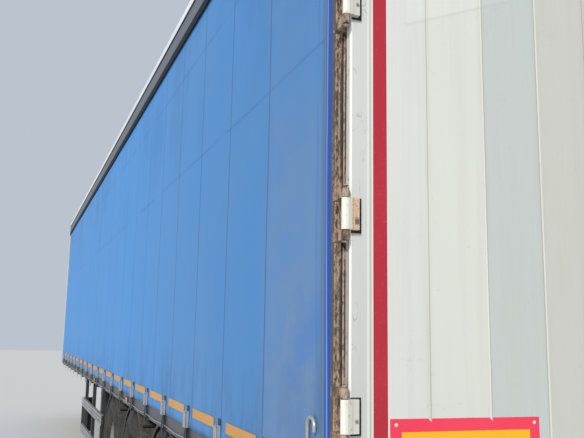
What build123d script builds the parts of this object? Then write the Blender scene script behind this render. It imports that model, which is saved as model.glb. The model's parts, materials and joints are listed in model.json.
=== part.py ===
"""Three-axle curtain-sided semi trailer, standing on its landing legs.

Millimetres. +X points to the front, +Y to the left side, +Z up. The origin is on the ground, midway
between the rear buffers and the front wall and midway between the sides. Lengths along the trailer are
stated ahead of the closed doors' outer face and turned into X by station().
"""

import os
from math import cos, radians, sin

from build123d import *

# Overall size
BODY_LENGTH = 13600.0
BODY_WIDTH = 2550.0
ROOF_HEIGHT = 4000.0
BUFFER_OUT = 90.0

HALF_LENGTH = (BODY_LENGTH + BUFFER_OUT) / 2
HALF_WIDTH = BODY_WIDTH / 2
FRONT_X = HALF_LENGTH
DOOR_FACE_X = BUFFER_OUT - HALF_LENGTH


def station(ahead):
    """X of a place given by how far it lies ahead of the closed doors' outer face."""
    return DOOR_FACE_X + ahead


# Load floor and chassis levels
DECK_TOP = 1230.0
DECK_THICK = 28.0
BEAM_TOP = DECK_TOP - DECK_THICK
CROSS_DEPTH = 80.0
CROSS_FLANGE = 50.0
CROSS_WALL = 5.0
CROSS_BOTTOM = BEAM_TOP - CROSS_DEPTH
CROSS_PITCH = 480.0
OUTRIGGER_TIP = 55.0

# Main beams: an I section whose lower flange steps up to the neck over the towing vehicle
BEAM_Y = 650.0
BEAM_WEB = 6.0
BEAM_FLANGE_WIDTH = 130.0
BEAM_FLANGE_THICK = 12.0
MAIN_DEPTH = 400.0
TAIL_DEPTH = 240.0
NECK_DEPTH = 110.0
TAIL_LENGTH = 1500.0
TAIL_RAMP = 600.0
NECK_LENGTH = 3300.0
NECK_RAMP = 500.0
MAIN_BOTTOM = BEAM_TOP - MAIN_DEPTH
TAIL_BOTTOM = BEAM_TOP - TAIL_DEPTH
NECK_BOTTOM = BEAM_TOP - NECK_DEPTH

# Kingpin and coupling plate
KINGPIN_BEHIND_FRONT = 1600.0
KINGPIN_NECK_R = 25.4
KINGPIN_SHOULDER_R = 36.5
KINGPIN_COLLAR_R = 35.7
KINGPIN_LENGTH = 84.0
KINGPIN_SHOULDER = 25.0
KINGPIN_NECK = 35.0
KINGPIN_FLANGE_R = 90.0
KINGPIN_FLANGE_THICK = 15.0
PLATE_THICK = 10.0
PLATE_HALF_WIDTH = 580.0
PLATE_BEHIND_PIN = 700.0
PLATE_FRONT_GAP = 250.0
PLATE_NOSE = 40.0
KINGPIN_X = FRONT_X - KINGPIN_BEHIND_FRONT
PLATE_FACE = NECK_BOTTOM - PLATE_THICK

# Sides: curtain, side rave, cant rail
CURTAIN_INSET = 49.0
CURTAIN_THICK = 3.0
CURTAIN_BOTTOM = 1178.0
CURTAIN_REAR = 160.0
CURTAIN_FRONT_GAP = 90.0
CURTAIN_Y = HALF_WIDTH - CURTAIN_INSET
SIDE_GAP = 3.0
RAVE_HEIGHT = 150.0
RAVE_WALL = 5.0
RAVE_TOP_WIDTH = 75.0
RAVE_LEDGE = 120.0
RAVE_LIP = 18.0
RAVE_Y = CURTAIN_Y - CURTAIN_THICK - SIDE_GAP
RAVE_INNER = RAVE_Y - RAVE_WALL
RAVE_BOTTOM = DECK_TOP - RAVE_HEIGHT
DECK_HALF_WIDTH = RAVE_Y - RAVE_TOP_WIDTH
POST_PROUD = 11.0
POST_Y = CURTAIN_Y + POST_PROUD
ROOF_RISE = 60.0
RAIL_HEIGHT = 140.0
RAIL_TOP = ROOF_HEIGHT - ROOF_RISE
RAIL_BOTTOM = RAIL_TOP - RAIL_HEIGHT
RAIL_DEPTH = 63.0
RAIL_WALL = 4.0
RAIL_DRIP = 55.0

# Straps and buckles along the hem
STRAP_PITCH = 672.0
STRAP_FIRST = 803.0
STRAP_WIDTH = 45.0
STRAP_THICK = 3.0
STRAP_TOP = 1300.0
STRAP_GAP = 2.0
STRAP_DROP = 14.0
BUCKLE_WIDTH = 52.0
BUCKLE_HEIGHT = 92.0
BUCKLE_THICK = 16.0
BUCKLE_BOTTOM = 1178.0

# Roof
ROOF_EDGE_R = 50.0
ROOF_THICK = 4.0
BOW_PITCH = 640.0
BOW_WIDTH = 40.0
BOW_WALL = 3.0
BOW_INSET = 55.0

# Front wall
WALL_THICK = 35.0
WALL_POST_DEPTH = 60.0
WALL_POST_WIDTH = 100.0
WALL_CORNER_R = 35.0
WALL_SWAGE_PITCH = 230.0
WALL_SWAGE_WIDTH = 12.0
WALL_SWAGE_DEPTH = 4.0
PANEL_HALF_WIDTH = 330.0
PANEL_BOTTOM = 1110.0
PANEL_HEIGHT = 230.0
PANEL_DEPTH = 22.0
PANEL_MARGIN = 40.0
SOCKET_R = 24.0
SOCKET_PITCH = 140.0
SOCKET_COUNT = 4
SOCKET_OUT = 18.0

# Rear frame: corner posts, header, sill
FRAME_GAP = 2.0
POST_DEPTH = 120.0
POST_WIDTH = 77.0
POST_WALL = 6.0
POST_BAND = 7.0
POST_BANDS = ((0.0, 30.0), (44.0, 70.0), (86.0, 120.0))
POST_NOTCH = 44.0
POST_NOTCH_DROP = 36.0
HEADER_BELOW_ROOF = 15.0
HEADER_HEIGHT = 125.0
HEADER_TOP = ROOF_HEIGHT - HEADER_BELOW_ROOF
HEADER_BOTTOM = HEADER_TOP - HEADER_HEIGHT
SILL_BOTTOM = 1000.0
STEP_TOP = 1168.0
VISOR_GAP = 12.0

# Doors
DOOR_THICK = 28.0
DOOR_EDGE_GAP = 34.0
DOOR_MEET_GAP = 4.0
DOOR_BOTTOM = 1180.0
DOOR_BELOW_ROOF = 100.0
DOOR_TOP = ROOF_HEIGHT - DOOR_BELOW_ROOF
DOOR_EDGE_BAND = 71.0
DOOR_EDGE_R = 6.0
FIRST_PLANK = 215.0
PLANK_WIDTH = 231.0
PLANK_JOINT = 3.0
PLANK_JOINT_DEPTH = 1.5
DOOR_EDGE_Y = HALF_WIDTH - DOOR_EDGE_GAP
POST_FRONT = DOOR_THICK + FRAME_GAP

# Hinges: a sleeve on the door between two knuckles on the post
HINGE_OUT = 12.0
HINGE_R = 12.0
HINGE_PIN_R = 6.0
HINGE_PIN_PLAY = 0.4
HINGE_SLEEVE = 100.0
HINGE_KNUCKLE = 30.0
HINGE_END_PLAY = 2.0
HINGE_LEAF = 24.0
HINGE_LEAF_THICK = 20.0
HINGE_ARM = 12.0
HINGE_PAD = 45.0
HINGE_RISES = (292.0, 906.0, 1617.0)
HINGE_TOP_DROP = 400.0
HINGE_HEIGHTS = [DOOR_BOTTOM + rise for rise in HINGE_RISES] + [DOOR_TOP - HINGE_TOP_DROP]
HINGE_Y = HALF_WIDTH - HINGE_R
HINGE_X = DOOR_FACE_X - HINGE_OUT
KNUCKLE_START = HINGE_SLEEVE / 2 + HINGE_END_PLAY

# Door lock rods, let into a channel of each door
LOCK_Y = 170.0
LOCK_ROD_R = 12.0
LOCK_CHANNEL = 80.0
LOCK_CHANNEL_DEPTH = 18.0
LOCK_ROD_X = 4.0
LOCK_GUIDE = 54.0
LOCK_GUIDE_WIDTH = 104.0
LOCK_GUIDE_OUT = 14.0
LOCK_GUIDE_INSET = 155.0
LOCK_GUIDE_PITCH = 800.0
LOCK_CAM_WIDTH = 40.0
LOCK_CAM_THICK = 16.0
LOCK_CAM_OUT = 12.0
LOCK_CAM_REACH = 52.0
LOCK_HANDLE_LOW = 1480.0
LOCK_HANDLE_HIGH = 1860.0
KEEPER_EAR = 10.0
KEEPER_PLAY = 6.0
KEEPER_HEIGHT = 44.0
KEEPER_OUT = 34.0

# Curtain poles and the rear tensioner's lever
POLE_R = 16.0
POLE_FROM_EDGE = 18.0
TENSIONER_WIDTH = 110.0
TENSIONER_HEIGHT = 96.0
TENSIONER_OUT = 24.0
LEVER_ROD_R = 7.0
LEVER_AHEAD = 338.0
LEVER_BEND_R = 30.0
LEVER_TOP = 1435.0
LEVER_HOOK = 45.0

# Side pillars and slats behind the curtain
PILLAR_COUNT = 3
PILLAR_LENGTH = 110.0
PILLAR_DEPTH = 55.0
PILLAR_WALL = 4.0
SLAT_HEIGHT = 125.0
SLAT_THICK = 25.0
SLAT_LEVELS = (1640.0, 2100.0, 2560.0, 3020.0)

# Wheels and axles
WHEEL_R = 535.0
TYRE_WIDTH = 385.0
DRUM_INSET = 30.0
DRUM_GAP = 8.0
TYRE_BEAD_R = 290.0
TYRE_SHOULDER = 45.0
TRACK = 2040.0
AXLE_SPACING = 1310.0
MIDDLE_AXLE = 4300.0
AXLE_BEAM = 120.0
AXLE_SPINDLE_R = 38.0
RIM_WALL = 9.0
RIM_WIDTH = 300.0
HAND_HOLE_R = 27.0
HAND_HOLE_CIRCLE = 226.0
HAND_HOLE_COUNT = 10
HUB_R = 142.0
HUB_BORE_PLAY = 1.0
HUB_FACE_OUT = 132.0
HUB_CAP_R = 78.0
HUB_CAP_TAPER = 10.0
HUB_CAP_THICK = 20.0
HUB_DISH = 40.0
DISC_RISE = 40.0
DISC_DROP = 22.0
DRUM_BACK = 60.0
DRUM_R = 210.0
DISC_OUT = 70.0
DISC_THICK = 12.0
AXLE_Z = WHEEL_R
WHEEL_Y = TRACK / 2
AXLES = tuple(
    (name, MIDDLE_AXLE + step * AXLE_SPACING)
    for name, step in (("front", 1), ("middle", 0), ("rear", -1))
)
REAR_AXLE = AXLES[-1][1]

# Air suspension
ARM_WIDTH = 90.0
ARM_DEPTH = 60.0
ARM_FRONT = 500.0
ARM_REAR = 400.0
ARM_DROP = 70.0
# Where the arm bends behind the axle, in axle beam widths
ARM_BEND_LOW = 1.2
ARM_BEND_TOP = 0.8
ARM_BEND_TAIL = 1.5
HANGER_WIDTH = 110.0
HANGER_LENGTH = 190.0
HANGER_EYE_R = 45.0
HANGER_SLOT = 117.0
BELLOWS_R = 140.0
# Shares of the bellows' radius and height, from the top of its axis round to its top plate
BELLOWS_PROFILE = ((0.0, 1.0), (0.0, 0.0), (0.6, 0.0), (0.7, 0.3), (1.0, 0.4), (1.0, 0.9), (0.8, 1.0))
CHAMBER_R = 85.0
CHAMBER_LENGTH = 170.0
DAMPER_R = 36.0
DAMPER_ROD_R = 12.0
DAMPER_CLEAR = 9.0
DAMPER_LEAN = 28.0
DAMPER_LENGTH = 300.0

# Mudguards and spray flaps
GUARD_GAP = 38.0
GUARD_THICK = 5.0
GUARD_WIDTH = 372.0
GUARD_EDGE_GAP = 5.0
GUARD_HALF_ANGLE = 74.0
GUARD_TAIL_ANGLE = 90.0
GUARD_ARM_ANGLE = 42.0
GUARD_ARM_R = 17.0
GUARD_ARM_SINK = 2.0
GUARD_LIP = 20.0
FLAP_THICK = 8.0
FLAP_BOTTOM = 300.0

# Side guards
GUARD_RAIL_HEIGHT = 110.0
GUARD_RAIL_DEPTH = 28.0
GUARD_RAIL_LOW = 330.0
GUARD_RAIL_HIGH = 685.0
GUARD_RAIL_REAR = 6330.0
GUARD_RAIL_FRONT = 8650.0
GUARD_GROOVE = 6.0
GUARD_GROOVE_COUNT = 2
GUARD_POST_WIDTH = 60.0
GUARD_POST_DEPTH = 40.0
GUARD_POST_INSET = 240.0
GUARD_END_INWARD = 150.0

# Rear underrun bar, lamp beam, buffers
UNDERRUN_LOW = 430.0
UNDERRUN_HEIGHT = 120.0
UNDERRUN_DEPTH = 60.0
UNDERRUN_HALF_WIDTH = 1180.0
UNDERRUN_FACE = 90.0
UNDERRUN_BRACKET = 80.0
UNDERRUN_END_CUT = 22.0
LAMP_BEAM_HEIGHT = 140.0
LAMP_BEAM_DEPTH = 60.0
LAMP_BEAM_FACE = 15.0
LAMP_INNER = 720.0
LAMP_OUTER = 1170.0
LAMP_HEIGHT = 104.0
LAMP_OUT = 34.0
LAMP_CELL_COUNT = 3
LAMP_CELL_GAP = 6.0
BUFFER_WIDTH = 210.0
BUFFER_HEIGHT = 110.0
BUFFER_INNER = 960.0
BUFFER_BOTTOM = 1030.0
BUFFER_EDGE = 22.0

# Landing legs
LEG_BEHIND_PIN = 2480.0
LEG_TUBE = 130.0
LEG_WALL = 8.0
LEG_INNER = 104.0
LEG_TUBE_BOTTOM = 470.0
LEG_FOOT_LENGTH = 260.0
LEG_FOOT_WIDTH = 240.0
LEG_FOOT_THICK = 14.0
LEG_FOOT_TURN = 60.0
LEG_PAD = 16.0
LEG_SHAFT_R = 14.0
LEG_SHAFT_DROP = 90.0
CRANK_ROD_R = 9.0
CRANK_REACH = 70.0
CRANK_DROP = 260.0
CRANK_GRIP = 120.0
CRANK_BEND_R = 30.0
LEG_CASE_OUT = 60.0
LEG_BRACE_RUN = 620.0
LEG_BRACE_LOW = 560.0
LEG_BRACE_R = 20.0

# Air tanks under the floor
TANK_R = 150.0
TANK_LENGTH = 760.0
TANK_Y = 300.0
TANK_DROP = 40.0
TANK_STRAP = 45.0
TANK_DISH = 35.0
TANK_END_CUT = 60.0

# Side marker lamps on the raves
MARKER_SKIP_COUNT = 1
MARKER_STRAP_COUNT = 4
MARKER_LENGTH = 96.0
MARKER_HEIGHT = 36.0
MARKER_OUT = 12.0

# The frame's inner faces along the trailer
SILL_FRONT = POST_FRONT + POST_DEPTH
WALL_REAR = BODY_LENGTH - WALL_POST_DEPTH
DECK_LENGTH = WALL_REAR - SILL_FRONT


def evenly(low, high, pitch):
    """Stations from low to high, both included, as near to the pitch as fits a whole number of steps."""
    steps = max(1, round((high - low) / pitch))
    return [low + (high - low) * step / steps for step in range(steps + 1)]


CROSS_STATIONS = evenly(SILL_FRONT + CROSS_PITCH / 2, WALL_REAR - CROSS_PITCH / 2, CROSS_PITCH)
STRAP_STATIONS = [
    STRAP_FIRST + STRAP_PITCH * step
    for step in range(int((WALL_REAR - CURTAIN_FRONT_GAP - STRAP_FIRST) / STRAP_PITCH) + 1)
]


def nearest_cross(ahead):
    """The crossmember station nearest to a place."""
    return min(CROSS_STATIONS, key=lambda place: abs(place - ahead))


def side_plane(y):
    """Sketch plane facing the right side at a given Y: its own x is X and its own y is Z."""
    return Plane.XZ.offset(-y)


os.makedirs("parts", exist_ok=True)


def finish(part, name):
    """Label a finished piece and write it under its own name."""
    part.label = name
    export_step(part, f"parts/{name}.step")


# Main beams: web and two flanges, the lower one following the tail ramp and the neck
NECK_START = BODY_LENGTH - NECK_LENGTH
LOWER_LINE = [
    (station(SILL_FRONT), TAIL_BOTTOM),
    (station(TAIL_LENGTH), TAIL_BOTTOM),
    (station(TAIL_LENGTH + TAIL_RAMP), MAIN_BOTTOM),
    (station(NECK_START - NECK_RAMP), MAIN_BOTTOM),
    (station(NECK_START), NECK_BOTTOM),
    (station(WALL_REAR), NECK_BOTTOM),
]
LIFTED_LINE = [(x, z + BEAM_FLANGE_THICK) for x, z in LOWER_LINE]
with BuildPart() as main_beams:
    with BuildSketch(side_plane(BEAM_Y + BEAM_WEB / 2)):
        with BuildLine():
            Polyline(
                *LIFTED_LINE,
                (station(WALL_REAR), BEAM_TOP - BEAM_FLANGE_THICK),
                (station(SILL_FRONT), BEAM_TOP - BEAM_FLANGE_THICK),
                close=True,
            )
        make_face()
    extrude(amount=BEAM_WEB)
    with BuildSketch(side_plane(BEAM_Y + BEAM_FLANGE_WIDTH / 2)):
        with BuildLine():
            Polyline(*LOWER_LINE, *reversed(LIFTED_LINE), close=True)
        make_face()
        with Locations((station(SILL_FRONT), BEAM_TOP - BEAM_FLANGE_THICK)):
            Rectangle(DECK_LENGTH, BEAM_FLANGE_THICK, align=(Align.MIN, Align.MIN))
    extrude(amount=BEAM_FLANGE_WIDTH)
    mirror(about=Plane.XZ)
finish(main_beams.part, "main_beams")

# Crossmembers: channels between the beams' webs, notched round the upper flanges
with BuildPart() as crossmembers:
    with BuildSketch(side_plane(BEAM_Y - BEAM_WEB / 2)):
        with Locations(*[(station(ahead), CROSS_BOTTOM) for ahead in CROSS_STATIONS]):
            Rectangle(CROSS_WALL, CROSS_DEPTH, align=(Align.MIN, Align.MIN))
            Rectangle(CROSS_FLANGE, CROSS_WALL, align=(Align.MIN, Align.MIN))
        with Locations(*[(station(ahead), BEAM_TOP) for ahead in CROSS_STATIONS]):
            Rectangle(CROSS_FLANGE, CROSS_WALL, align=(Align.MIN, Align.MAX))
    extrude(amount=2 * BEAM_Y - BEAM_WEB)
    with BuildSketch(Plane.XY.offset(BEAM_TOP - BEAM_FLANGE_THICK)):
        with Locations((station(SILL_FRONT), BEAM_Y), (station(SILL_FRONT), -BEAM_Y)):
            Rectangle(DECK_LENGTH, BEAM_FLANGE_WIDTH, align=(Align.MIN, Align.CENTER))
    extrude(amount=BEAM_FLANGE_THICK, mode=Mode.SUBTRACT)
finish(crossmembers.part, "crossmembers")

# Outriggers: tapered brackets from each beam's web to the side rave, under the rave's ledge
ROOT_Y = BEAM_Y + BEAM_WEB / 2
FLANGE_EDGE_Y = BEAM_Y + BEAM_FLANGE_WIDTH / 2
LEDGE_Y = RAVE_Y - RAVE_LEDGE
with BuildPart() as outriggers:
    for ahead in CROSS_STATIONS:
        with BuildSketch(Plane.YZ.offset(station(ahead))):
            with BuildLine():
                Polyline(
                    (ROOT_Y, CROSS_BOTTOM),
                    (RAVE_INNER, BEAM_TOP - OUTRIGGER_TIP),
                    (RAVE_INNER, BEAM_TOP - RAVE_WALL),
                    (LEDGE_Y, BEAM_TOP - RAVE_WALL),
                    (LEDGE_Y, BEAM_TOP),
                    (FLANGE_EDGE_Y, BEAM_TOP),
                    (FLANGE_EDGE_Y, BEAM_TOP - BEAM_FLANGE_THICK),
                    (ROOT_Y, BEAM_TOP - BEAM_FLANGE_THICK),
                    close=True,
                )
            make_face()
        extrude(amount=CROSS_WALL)
    with BuildSketch(Plane.XY.offset(BEAM_TOP - CROSS_WALL)):
        with Locations(*[(station(ahead), FLANGE_EDGE_Y) for ahead in CROSS_STATIONS]):
            Rectangle(CROSS_FLANGE, LEDGE_Y - FLANGE_EDGE_Y, align=(Align.MIN, Align.MIN))
    extrude(amount=CROSS_WALL)
    mirror(about=Plane.XZ)
finish(outriggers.part, "outriggers")

# Side raves: web, top flange beside the deck, ledge under its edge, hooked lip for the straps
with BuildPart() as side_rave_left:
    with BuildSketch(Plane.YZ.offset(station(SILL_FRONT))):
        with Locations((RAVE_Y, RAVE_BOTTOM)):
            Rectangle(RAVE_WALL, RAVE_HEIGHT, align=(Align.MAX, Align.MIN))
            Rectangle(RAVE_LIP, RAVE_WALL, align=(Align.MAX, Align.MIN))
        with Locations((RAVE_Y, DECK_TOP)):
            Rectangle(RAVE_TOP_WIDTH, RAVE_WALL, align=(Align.MAX, Align.MAX))
        with Locations((RAVE_Y, BEAM_TOP)):
            Rectangle(RAVE_LEDGE, RAVE_WALL, align=(Align.MAX, Align.MAX))
        with Locations((RAVE_Y - RAVE_LIP, RAVE_BOTTOM)):
            Rectangle(RAVE_WALL, RAVE_LIP, align=(Align.MIN, Align.MIN))
    extrude(amount=DECK_LENGTH)
with BuildPart() as side_rave_right:
    add(side_rave_left.part.mirror(Plane.XZ))
finish(side_rave_left.part, "side_rave_left")
finish(side_rave_right.part, "side_rave_right")

# Deck
with BuildPart() as floor_deck:
    with BuildSketch(Plane.XY.offset(BEAM_TOP)):
        with Locations((station(SILL_FRONT), 0)):
            Rectangle(DECK_LENGTH, 2 * DECK_HALF_WIDTH, align=(Align.MIN, Align.CENTER))
    extrude(amount=DECK_THICK)
finish(floor_deck.part, "floor_deck")

# Coupling plate with an upturned nose, and the kingpin through it, held by a flange on top
PLATE_REAR_X = KINGPIN_X - PLATE_BEHIND_PIN
PLATE_FRONT_X = FRONT_X - PLATE_FRONT_GAP
with BuildPart() as coupling_plate:
    with BuildSketch(side_plane(PLATE_HALF_WIDTH)):
        with BuildLine():
            Polyline(
                (PLATE_REAR_X, PLATE_FACE),
                (PLATE_FRONT_X - PLATE_NOSE, PLATE_FACE),
                (PLATE_FRONT_X, NECK_BOTTOM),
                (PLATE_REAR_X, NECK_BOTTOM),
                close=True,
            )
        make_face()
    extrude(amount=2 * PLATE_HALF_WIDTH)
    with BuildSketch(side_plane(BEAM_Y + BEAM_FLANGE_WIDTH / 2)):
        with Locations((PLATE_REAR_X, PLATE_FACE)):
            Rectangle(
                PLATE_FRONT_X - PLATE_NOSE - PLATE_REAR_X, PLATE_THICK, align=(Align.MIN, Align.MIN)
            )
    extrude(amount=2 * BEAM_Y + BEAM_FLANGE_WIDTH)
    with BuildSketch(Plane.XY.offset(PLATE_FACE)):
        with Locations((KINGPIN_X, 0)):
            Circle(KINGPIN_SHOULDER_R)
    extrude(amount=PLATE_THICK, mode=Mode.SUBTRACT)
finish(coupling_plate.part, "coupling_plate")

with BuildPart() as kingpin:
    with BuildSketch(Plane.XZ):
        with BuildLine():
            Polyline(
                (KINGPIN_X, NECK_BOTTOM + KINGPIN_FLANGE_THICK),
                (KINGPIN_X + KINGPIN_FLANGE_R, NECK_BOTTOM + KINGPIN_FLANGE_THICK),
                (KINGPIN_X + KINGPIN_FLANGE_R, NECK_BOTTOM),
                (KINGPIN_X + KINGPIN_SHOULDER_R, NECK_BOTTOM),
                (KINGPIN_X + KINGPIN_SHOULDER_R, PLATE_FACE - KINGPIN_SHOULDER),
                (KINGPIN_X + KINGPIN_NECK_R, PLATE_FACE - KINGPIN_SHOULDER),
                (KINGPIN_X + KINGPIN_NECK_R, PLATE_FACE - KINGPIN_SHOULDER - KINGPIN_NECK),
                (KINGPIN_X + KINGPIN_COLLAR_R, PLATE_FACE - KINGPIN_SHOULDER - KINGPIN_NECK),
                (KINGPIN_X + KINGPIN_COLLAR_R, PLATE_FACE - KINGPIN_LENGTH),
                (KINGPIN_X, PLATE_FACE - KINGPIN_LENGTH),
                close=True,
            )
        make_face()
    revolve(axis=Axis((KINGPIN_X, 0, 0), (0, 0, 1)))
finish(kingpin.part, "kingpin")

# Front wall: panel with shallow vertical swages, corner posts, and a recess low down with sockets
with BuildPart() as front_wall:
    with BuildSketch(Plane.XY.offset(RAVE_BOTTOM)):
        with Locations((FRONT_X, 0)):
            Rectangle(WALL_THICK, 2 * POST_Y, align=(Align.MAX, Align.CENTER))
        for side in (1, -1):
            with Locations((FRONT_X, side * (POST_Y - WALL_POST_WIDTH / 2))):
                Rectangle(WALL_POST_DEPTH, WALL_POST_WIDTH, align=(Align.MAX, Align.CENTER))
    extrude(amount=RAIL_TOP - RAVE_BOTTOM)
    with BuildSketch(Plane.XY.offset(RAIL_BOTTOM)):
        with Locations((FRONT_X, 0)):
            Rectangle(WALL_POST_DEPTH, 2 * POST_Y, align=(Align.MAX, Align.CENTER))
    extrude(amount=ROOF_HEIGHT - RAIL_BOTTOM)
    fillet(front_wall.edges().filter_by(Axis.Z).group_by(Axis.X)[-1], WALL_CORNER_R)
    fillet(front_wall.faces().sort_by(Axis.Z)[-1].edges().sort_by(Axis.X)[-1], WALL_CORNER_R)
    SWAGES = int((POST_Y - WALL_POST_WIDTH) / WALL_SWAGE_PITCH)
    with BuildSketch(Plane.XY.offset(PANEL_BOTTOM + PANEL_HEIGHT)):
        with Locations(*[(FRONT_X, index * WALL_SWAGE_PITCH) for index in range(-SWAGES, SWAGES + 1)]):
            Rectangle(WALL_SWAGE_DEPTH, WALL_SWAGE_WIDTH, align=(Align.MAX, Align.CENTER))
    extrude(amount=RAIL_BOTTOM - PANEL_BOTTOM - PANEL_HEIGHT, mode=Mode.SUBTRACT)
    with BuildSketch(Plane.YZ.offset(FRONT_X)):
        with Locations((0, PANEL_BOTTOM)):
            Rectangle(
                2 * PANEL_HALF_WIDTH, PANEL_HEIGHT - PANEL_MARGIN, align=(Align.CENTER, Align.MIN)
            )
    extrude(amount=-PANEL_DEPTH, mode=Mode.SUBTRACT)
    with BuildSketch(Plane.YZ.offset(FRONT_X - PANEL_DEPTH)):
        with Locations((0, PANEL_BOTTOM + (PANEL_HEIGHT - PANEL_MARGIN) / 2)):
            with GridLocations(SOCKET_PITCH, 0, SOCKET_COUNT, 1):
                Circle(SOCKET_R)
    extrude(amount=SOCKET_OUT)
finish(front_wall.part, "front_wall")

# Rear frame: hollow corner posts, each with raised bands on its outer face, notched below the lugs
with BuildPart() as rear_frame:
    with BuildSketch(Plane.XY.offset(SILL_BOTTOM)):
        with Locations((station(POST_FRONT), POST_Y - POST_BAND)):
            Rectangle(POST_DEPTH, POST_WIDTH - POST_BAND, align=(Align.MIN, Align.MAX))
        with Locations((station(POST_FRONT + POST_WALL), POST_Y - POST_BAND - POST_WALL)):
            Rectangle(
                POST_DEPTH - 2 * POST_WALL,
                POST_WIDTH - POST_BAND - 2 * POST_WALL,
                align=(Align.MIN, Align.MAX),
                mode=Mode.SUBTRACT,
            )
        for low, high in POST_BANDS:
            with Locations((station(POST_FRONT + low), POST_Y)):
                Rectangle(high - low, POST_BAND, align=(Align.MIN, Align.MAX))
    extrude(amount=HEADER_TOP - SILL_BOTTOM)
    for height in HINGE_HEIGHTS:
        notch_top = height - KNUCKLE_START - HINGE_KNUCKLE
        with BuildSketch(side_plane(POST_Y)):
            with BuildLine():
                Polyline(
                    (station(POST_FRONT), notch_top),
                    (station(POST_FRONT + POST_NOTCH), notch_top),
                    (station(POST_FRONT), notch_top - POST_NOTCH_DROP),
                    close=True,
                )
            make_face()
        extrude(amount=POST_BAND, mode=Mode.SUBTRACT)
    mirror(about=Plane.XZ)
finish(rear_frame.part, "rear_frame")

# Header with its visor over the doors, and sill with its step below them: a box between the posts
# and a strip across them, with keepers, two ears each side of a lock cam, open to the rear
KEEPER_INNER = LOCK_CAM_WIDTH / 2 + KEEPER_PLAY
POST_INNER = POST_Y - POST_WIDTH
# Columns: name, box from and to, strip from and to, keepers from
FRAME_BARS = (
    ("rear_header", HEADER_BOTTOM, HEADER_TOP, DOOR_TOP + VISOR_GAP, HEADER_TOP, DOOR_TOP + VISOR_GAP),
    ("rear_sill", SILL_BOTTOM, DECK_TOP, SILL_BOTTOM, STEP_TOP, STEP_TOP - KEEPER_HEIGHT),
)
for name, box_low, box_high, strip_low, strip_high, keeper_low in FRAME_BARS:
    with BuildPart() as bar:
        with BuildSketch(side_plane(POST_INNER)):
            with Locations((station(POST_FRONT), box_low)):
                Rectangle(POST_DEPTH, box_high - box_low, align=(Align.MIN, Align.MIN))
            with Locations((station(POST_FRONT + POST_WALL), box_low + POST_WALL)):
                Rectangle(
                    POST_DEPTH - 2 * POST_WALL,
                    box_high - box_low - 2 * POST_WALL,
                    align=(Align.MIN, Align.MIN),
                    mode=Mode.SUBTRACT,
                )
        extrude(amount=2 * POST_INNER)
        with BuildSketch(side_plane(POST_Y)):
            with Locations((station(0), strip_low)):
                Rectangle(POST_FRONT, strip_high - strip_low, align=(Align.MIN, Align.MIN))
        extrude(amount=2 * POST_Y)
        with BuildSketch(Plane.XY.offset(keeper_low)):
            for side in (1, -1):
                for ear in (1, -1):
                    with Locations((station(0), side * LOCK_Y + ear * (KEEPER_INNER + KEEPER_EAR / 2))):
                        Rectangle(KEEPER_OUT, KEEPER_EAR, align=(Align.MAX, Align.CENTER))
        extrude(amount=KEEPER_HEIGHT)
    finish(bar.part, name)

# Hinge lugs: two knuckles on an arm along the post, joined by the pin
with BuildPart() as hinge_lugs:
    for height in HINGE_HEIGHTS:
        for bottom in (height + KNUCKLE_START, height - KNUCKLE_START - HINGE_KNUCKLE):
            with BuildSketch(Plane.XY.offset(bottom)):
                with Locations((HINGE_X, HINGE_Y)):
                    Circle(HINGE_R)
                with Locations((HINGE_X, HINGE_Y)):
                    Rectangle(
                        HINGE_OUT + POST_FRONT + HINGE_PAD, HINGE_ARM, align=(Align.MIN, Align.CENTER)
                    )
                with Locations((station(POST_FRONT), HINGE_Y + HINGE_ARM / 2)):
                    Rectangle(
                        HINGE_PAD, HINGE_Y + HINGE_ARM / 2 - POST_Y, align=(Align.MIN, Align.MAX)
                    )
            extrude(amount=HINGE_KNUCKLE)
        with BuildSketch(Plane.XY.offset(height - KNUCKLE_START - HINGE_KNUCKLE - HINGE_PIN_R)):
            with Locations((HINGE_X, HINGE_Y)):
                Circle(HINGE_PIN_R)
        extrude(amount=2 * (KNUCKLE_START + HINGE_KNUCKLE + HINGE_PIN_R))
    mirror(about=Plane.XZ)
finish(hinge_lugs.part, "hinge_lugs")

# Doors: planks between edge profiles, with a channel for the lock rod
BAND_Y = DOOR_EDGE_Y - DOOR_EDGE_BAND
PLANK_Y = BAND_Y - FIRST_PLANK
PLANKS = int((PLANK_Y - LOCK_Y - LOCK_CHANNEL / 2) / PLANK_WIDTH)
JOINTS = [BAND_Y] + [PLANK_Y - index * PLANK_WIDTH for index in range(PLANKS + 1)]
with BuildPart() as door_left_panel:
    with BuildSketch(Plane.XY.offset(DOOR_BOTTOM)) as outline:
        with Locations((station(0), DOOR_MEET_GAP)):
            Rectangle(DOOR_THICK, DOOR_EDGE_Y - DOOR_MEET_GAP, align=(Align.MIN, Align.MIN))
        fillet(outline.vertices().group_by(Axis.Y)[-1].group_by(Axis.X)[0], radius=DOOR_EDGE_R)
        with Locations((station(0), LOCK_Y)):
            Rectangle(
                LOCK_CHANNEL_DEPTH, LOCK_CHANNEL, align=(Align.MIN, Align.CENTER), mode=Mode.SUBTRACT
            )
        with Locations(*[(station(0), y) for y in JOINTS]):
            Rectangle(
                PLANK_JOINT_DEPTH, PLANK_JOINT, align=(Align.MIN, Align.CENTER), mode=Mode.SUBTRACT
            )
    extrude(amount=DOOR_TOP - DOOR_BOTTOM)
with BuildPart() as door_right_panel:
    add(door_left_panel.part.mirror(Plane.XZ))
finish(door_left_panel.part, "door_left_panel")
finish(door_right_panel.part, "door_right_panel")

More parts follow.
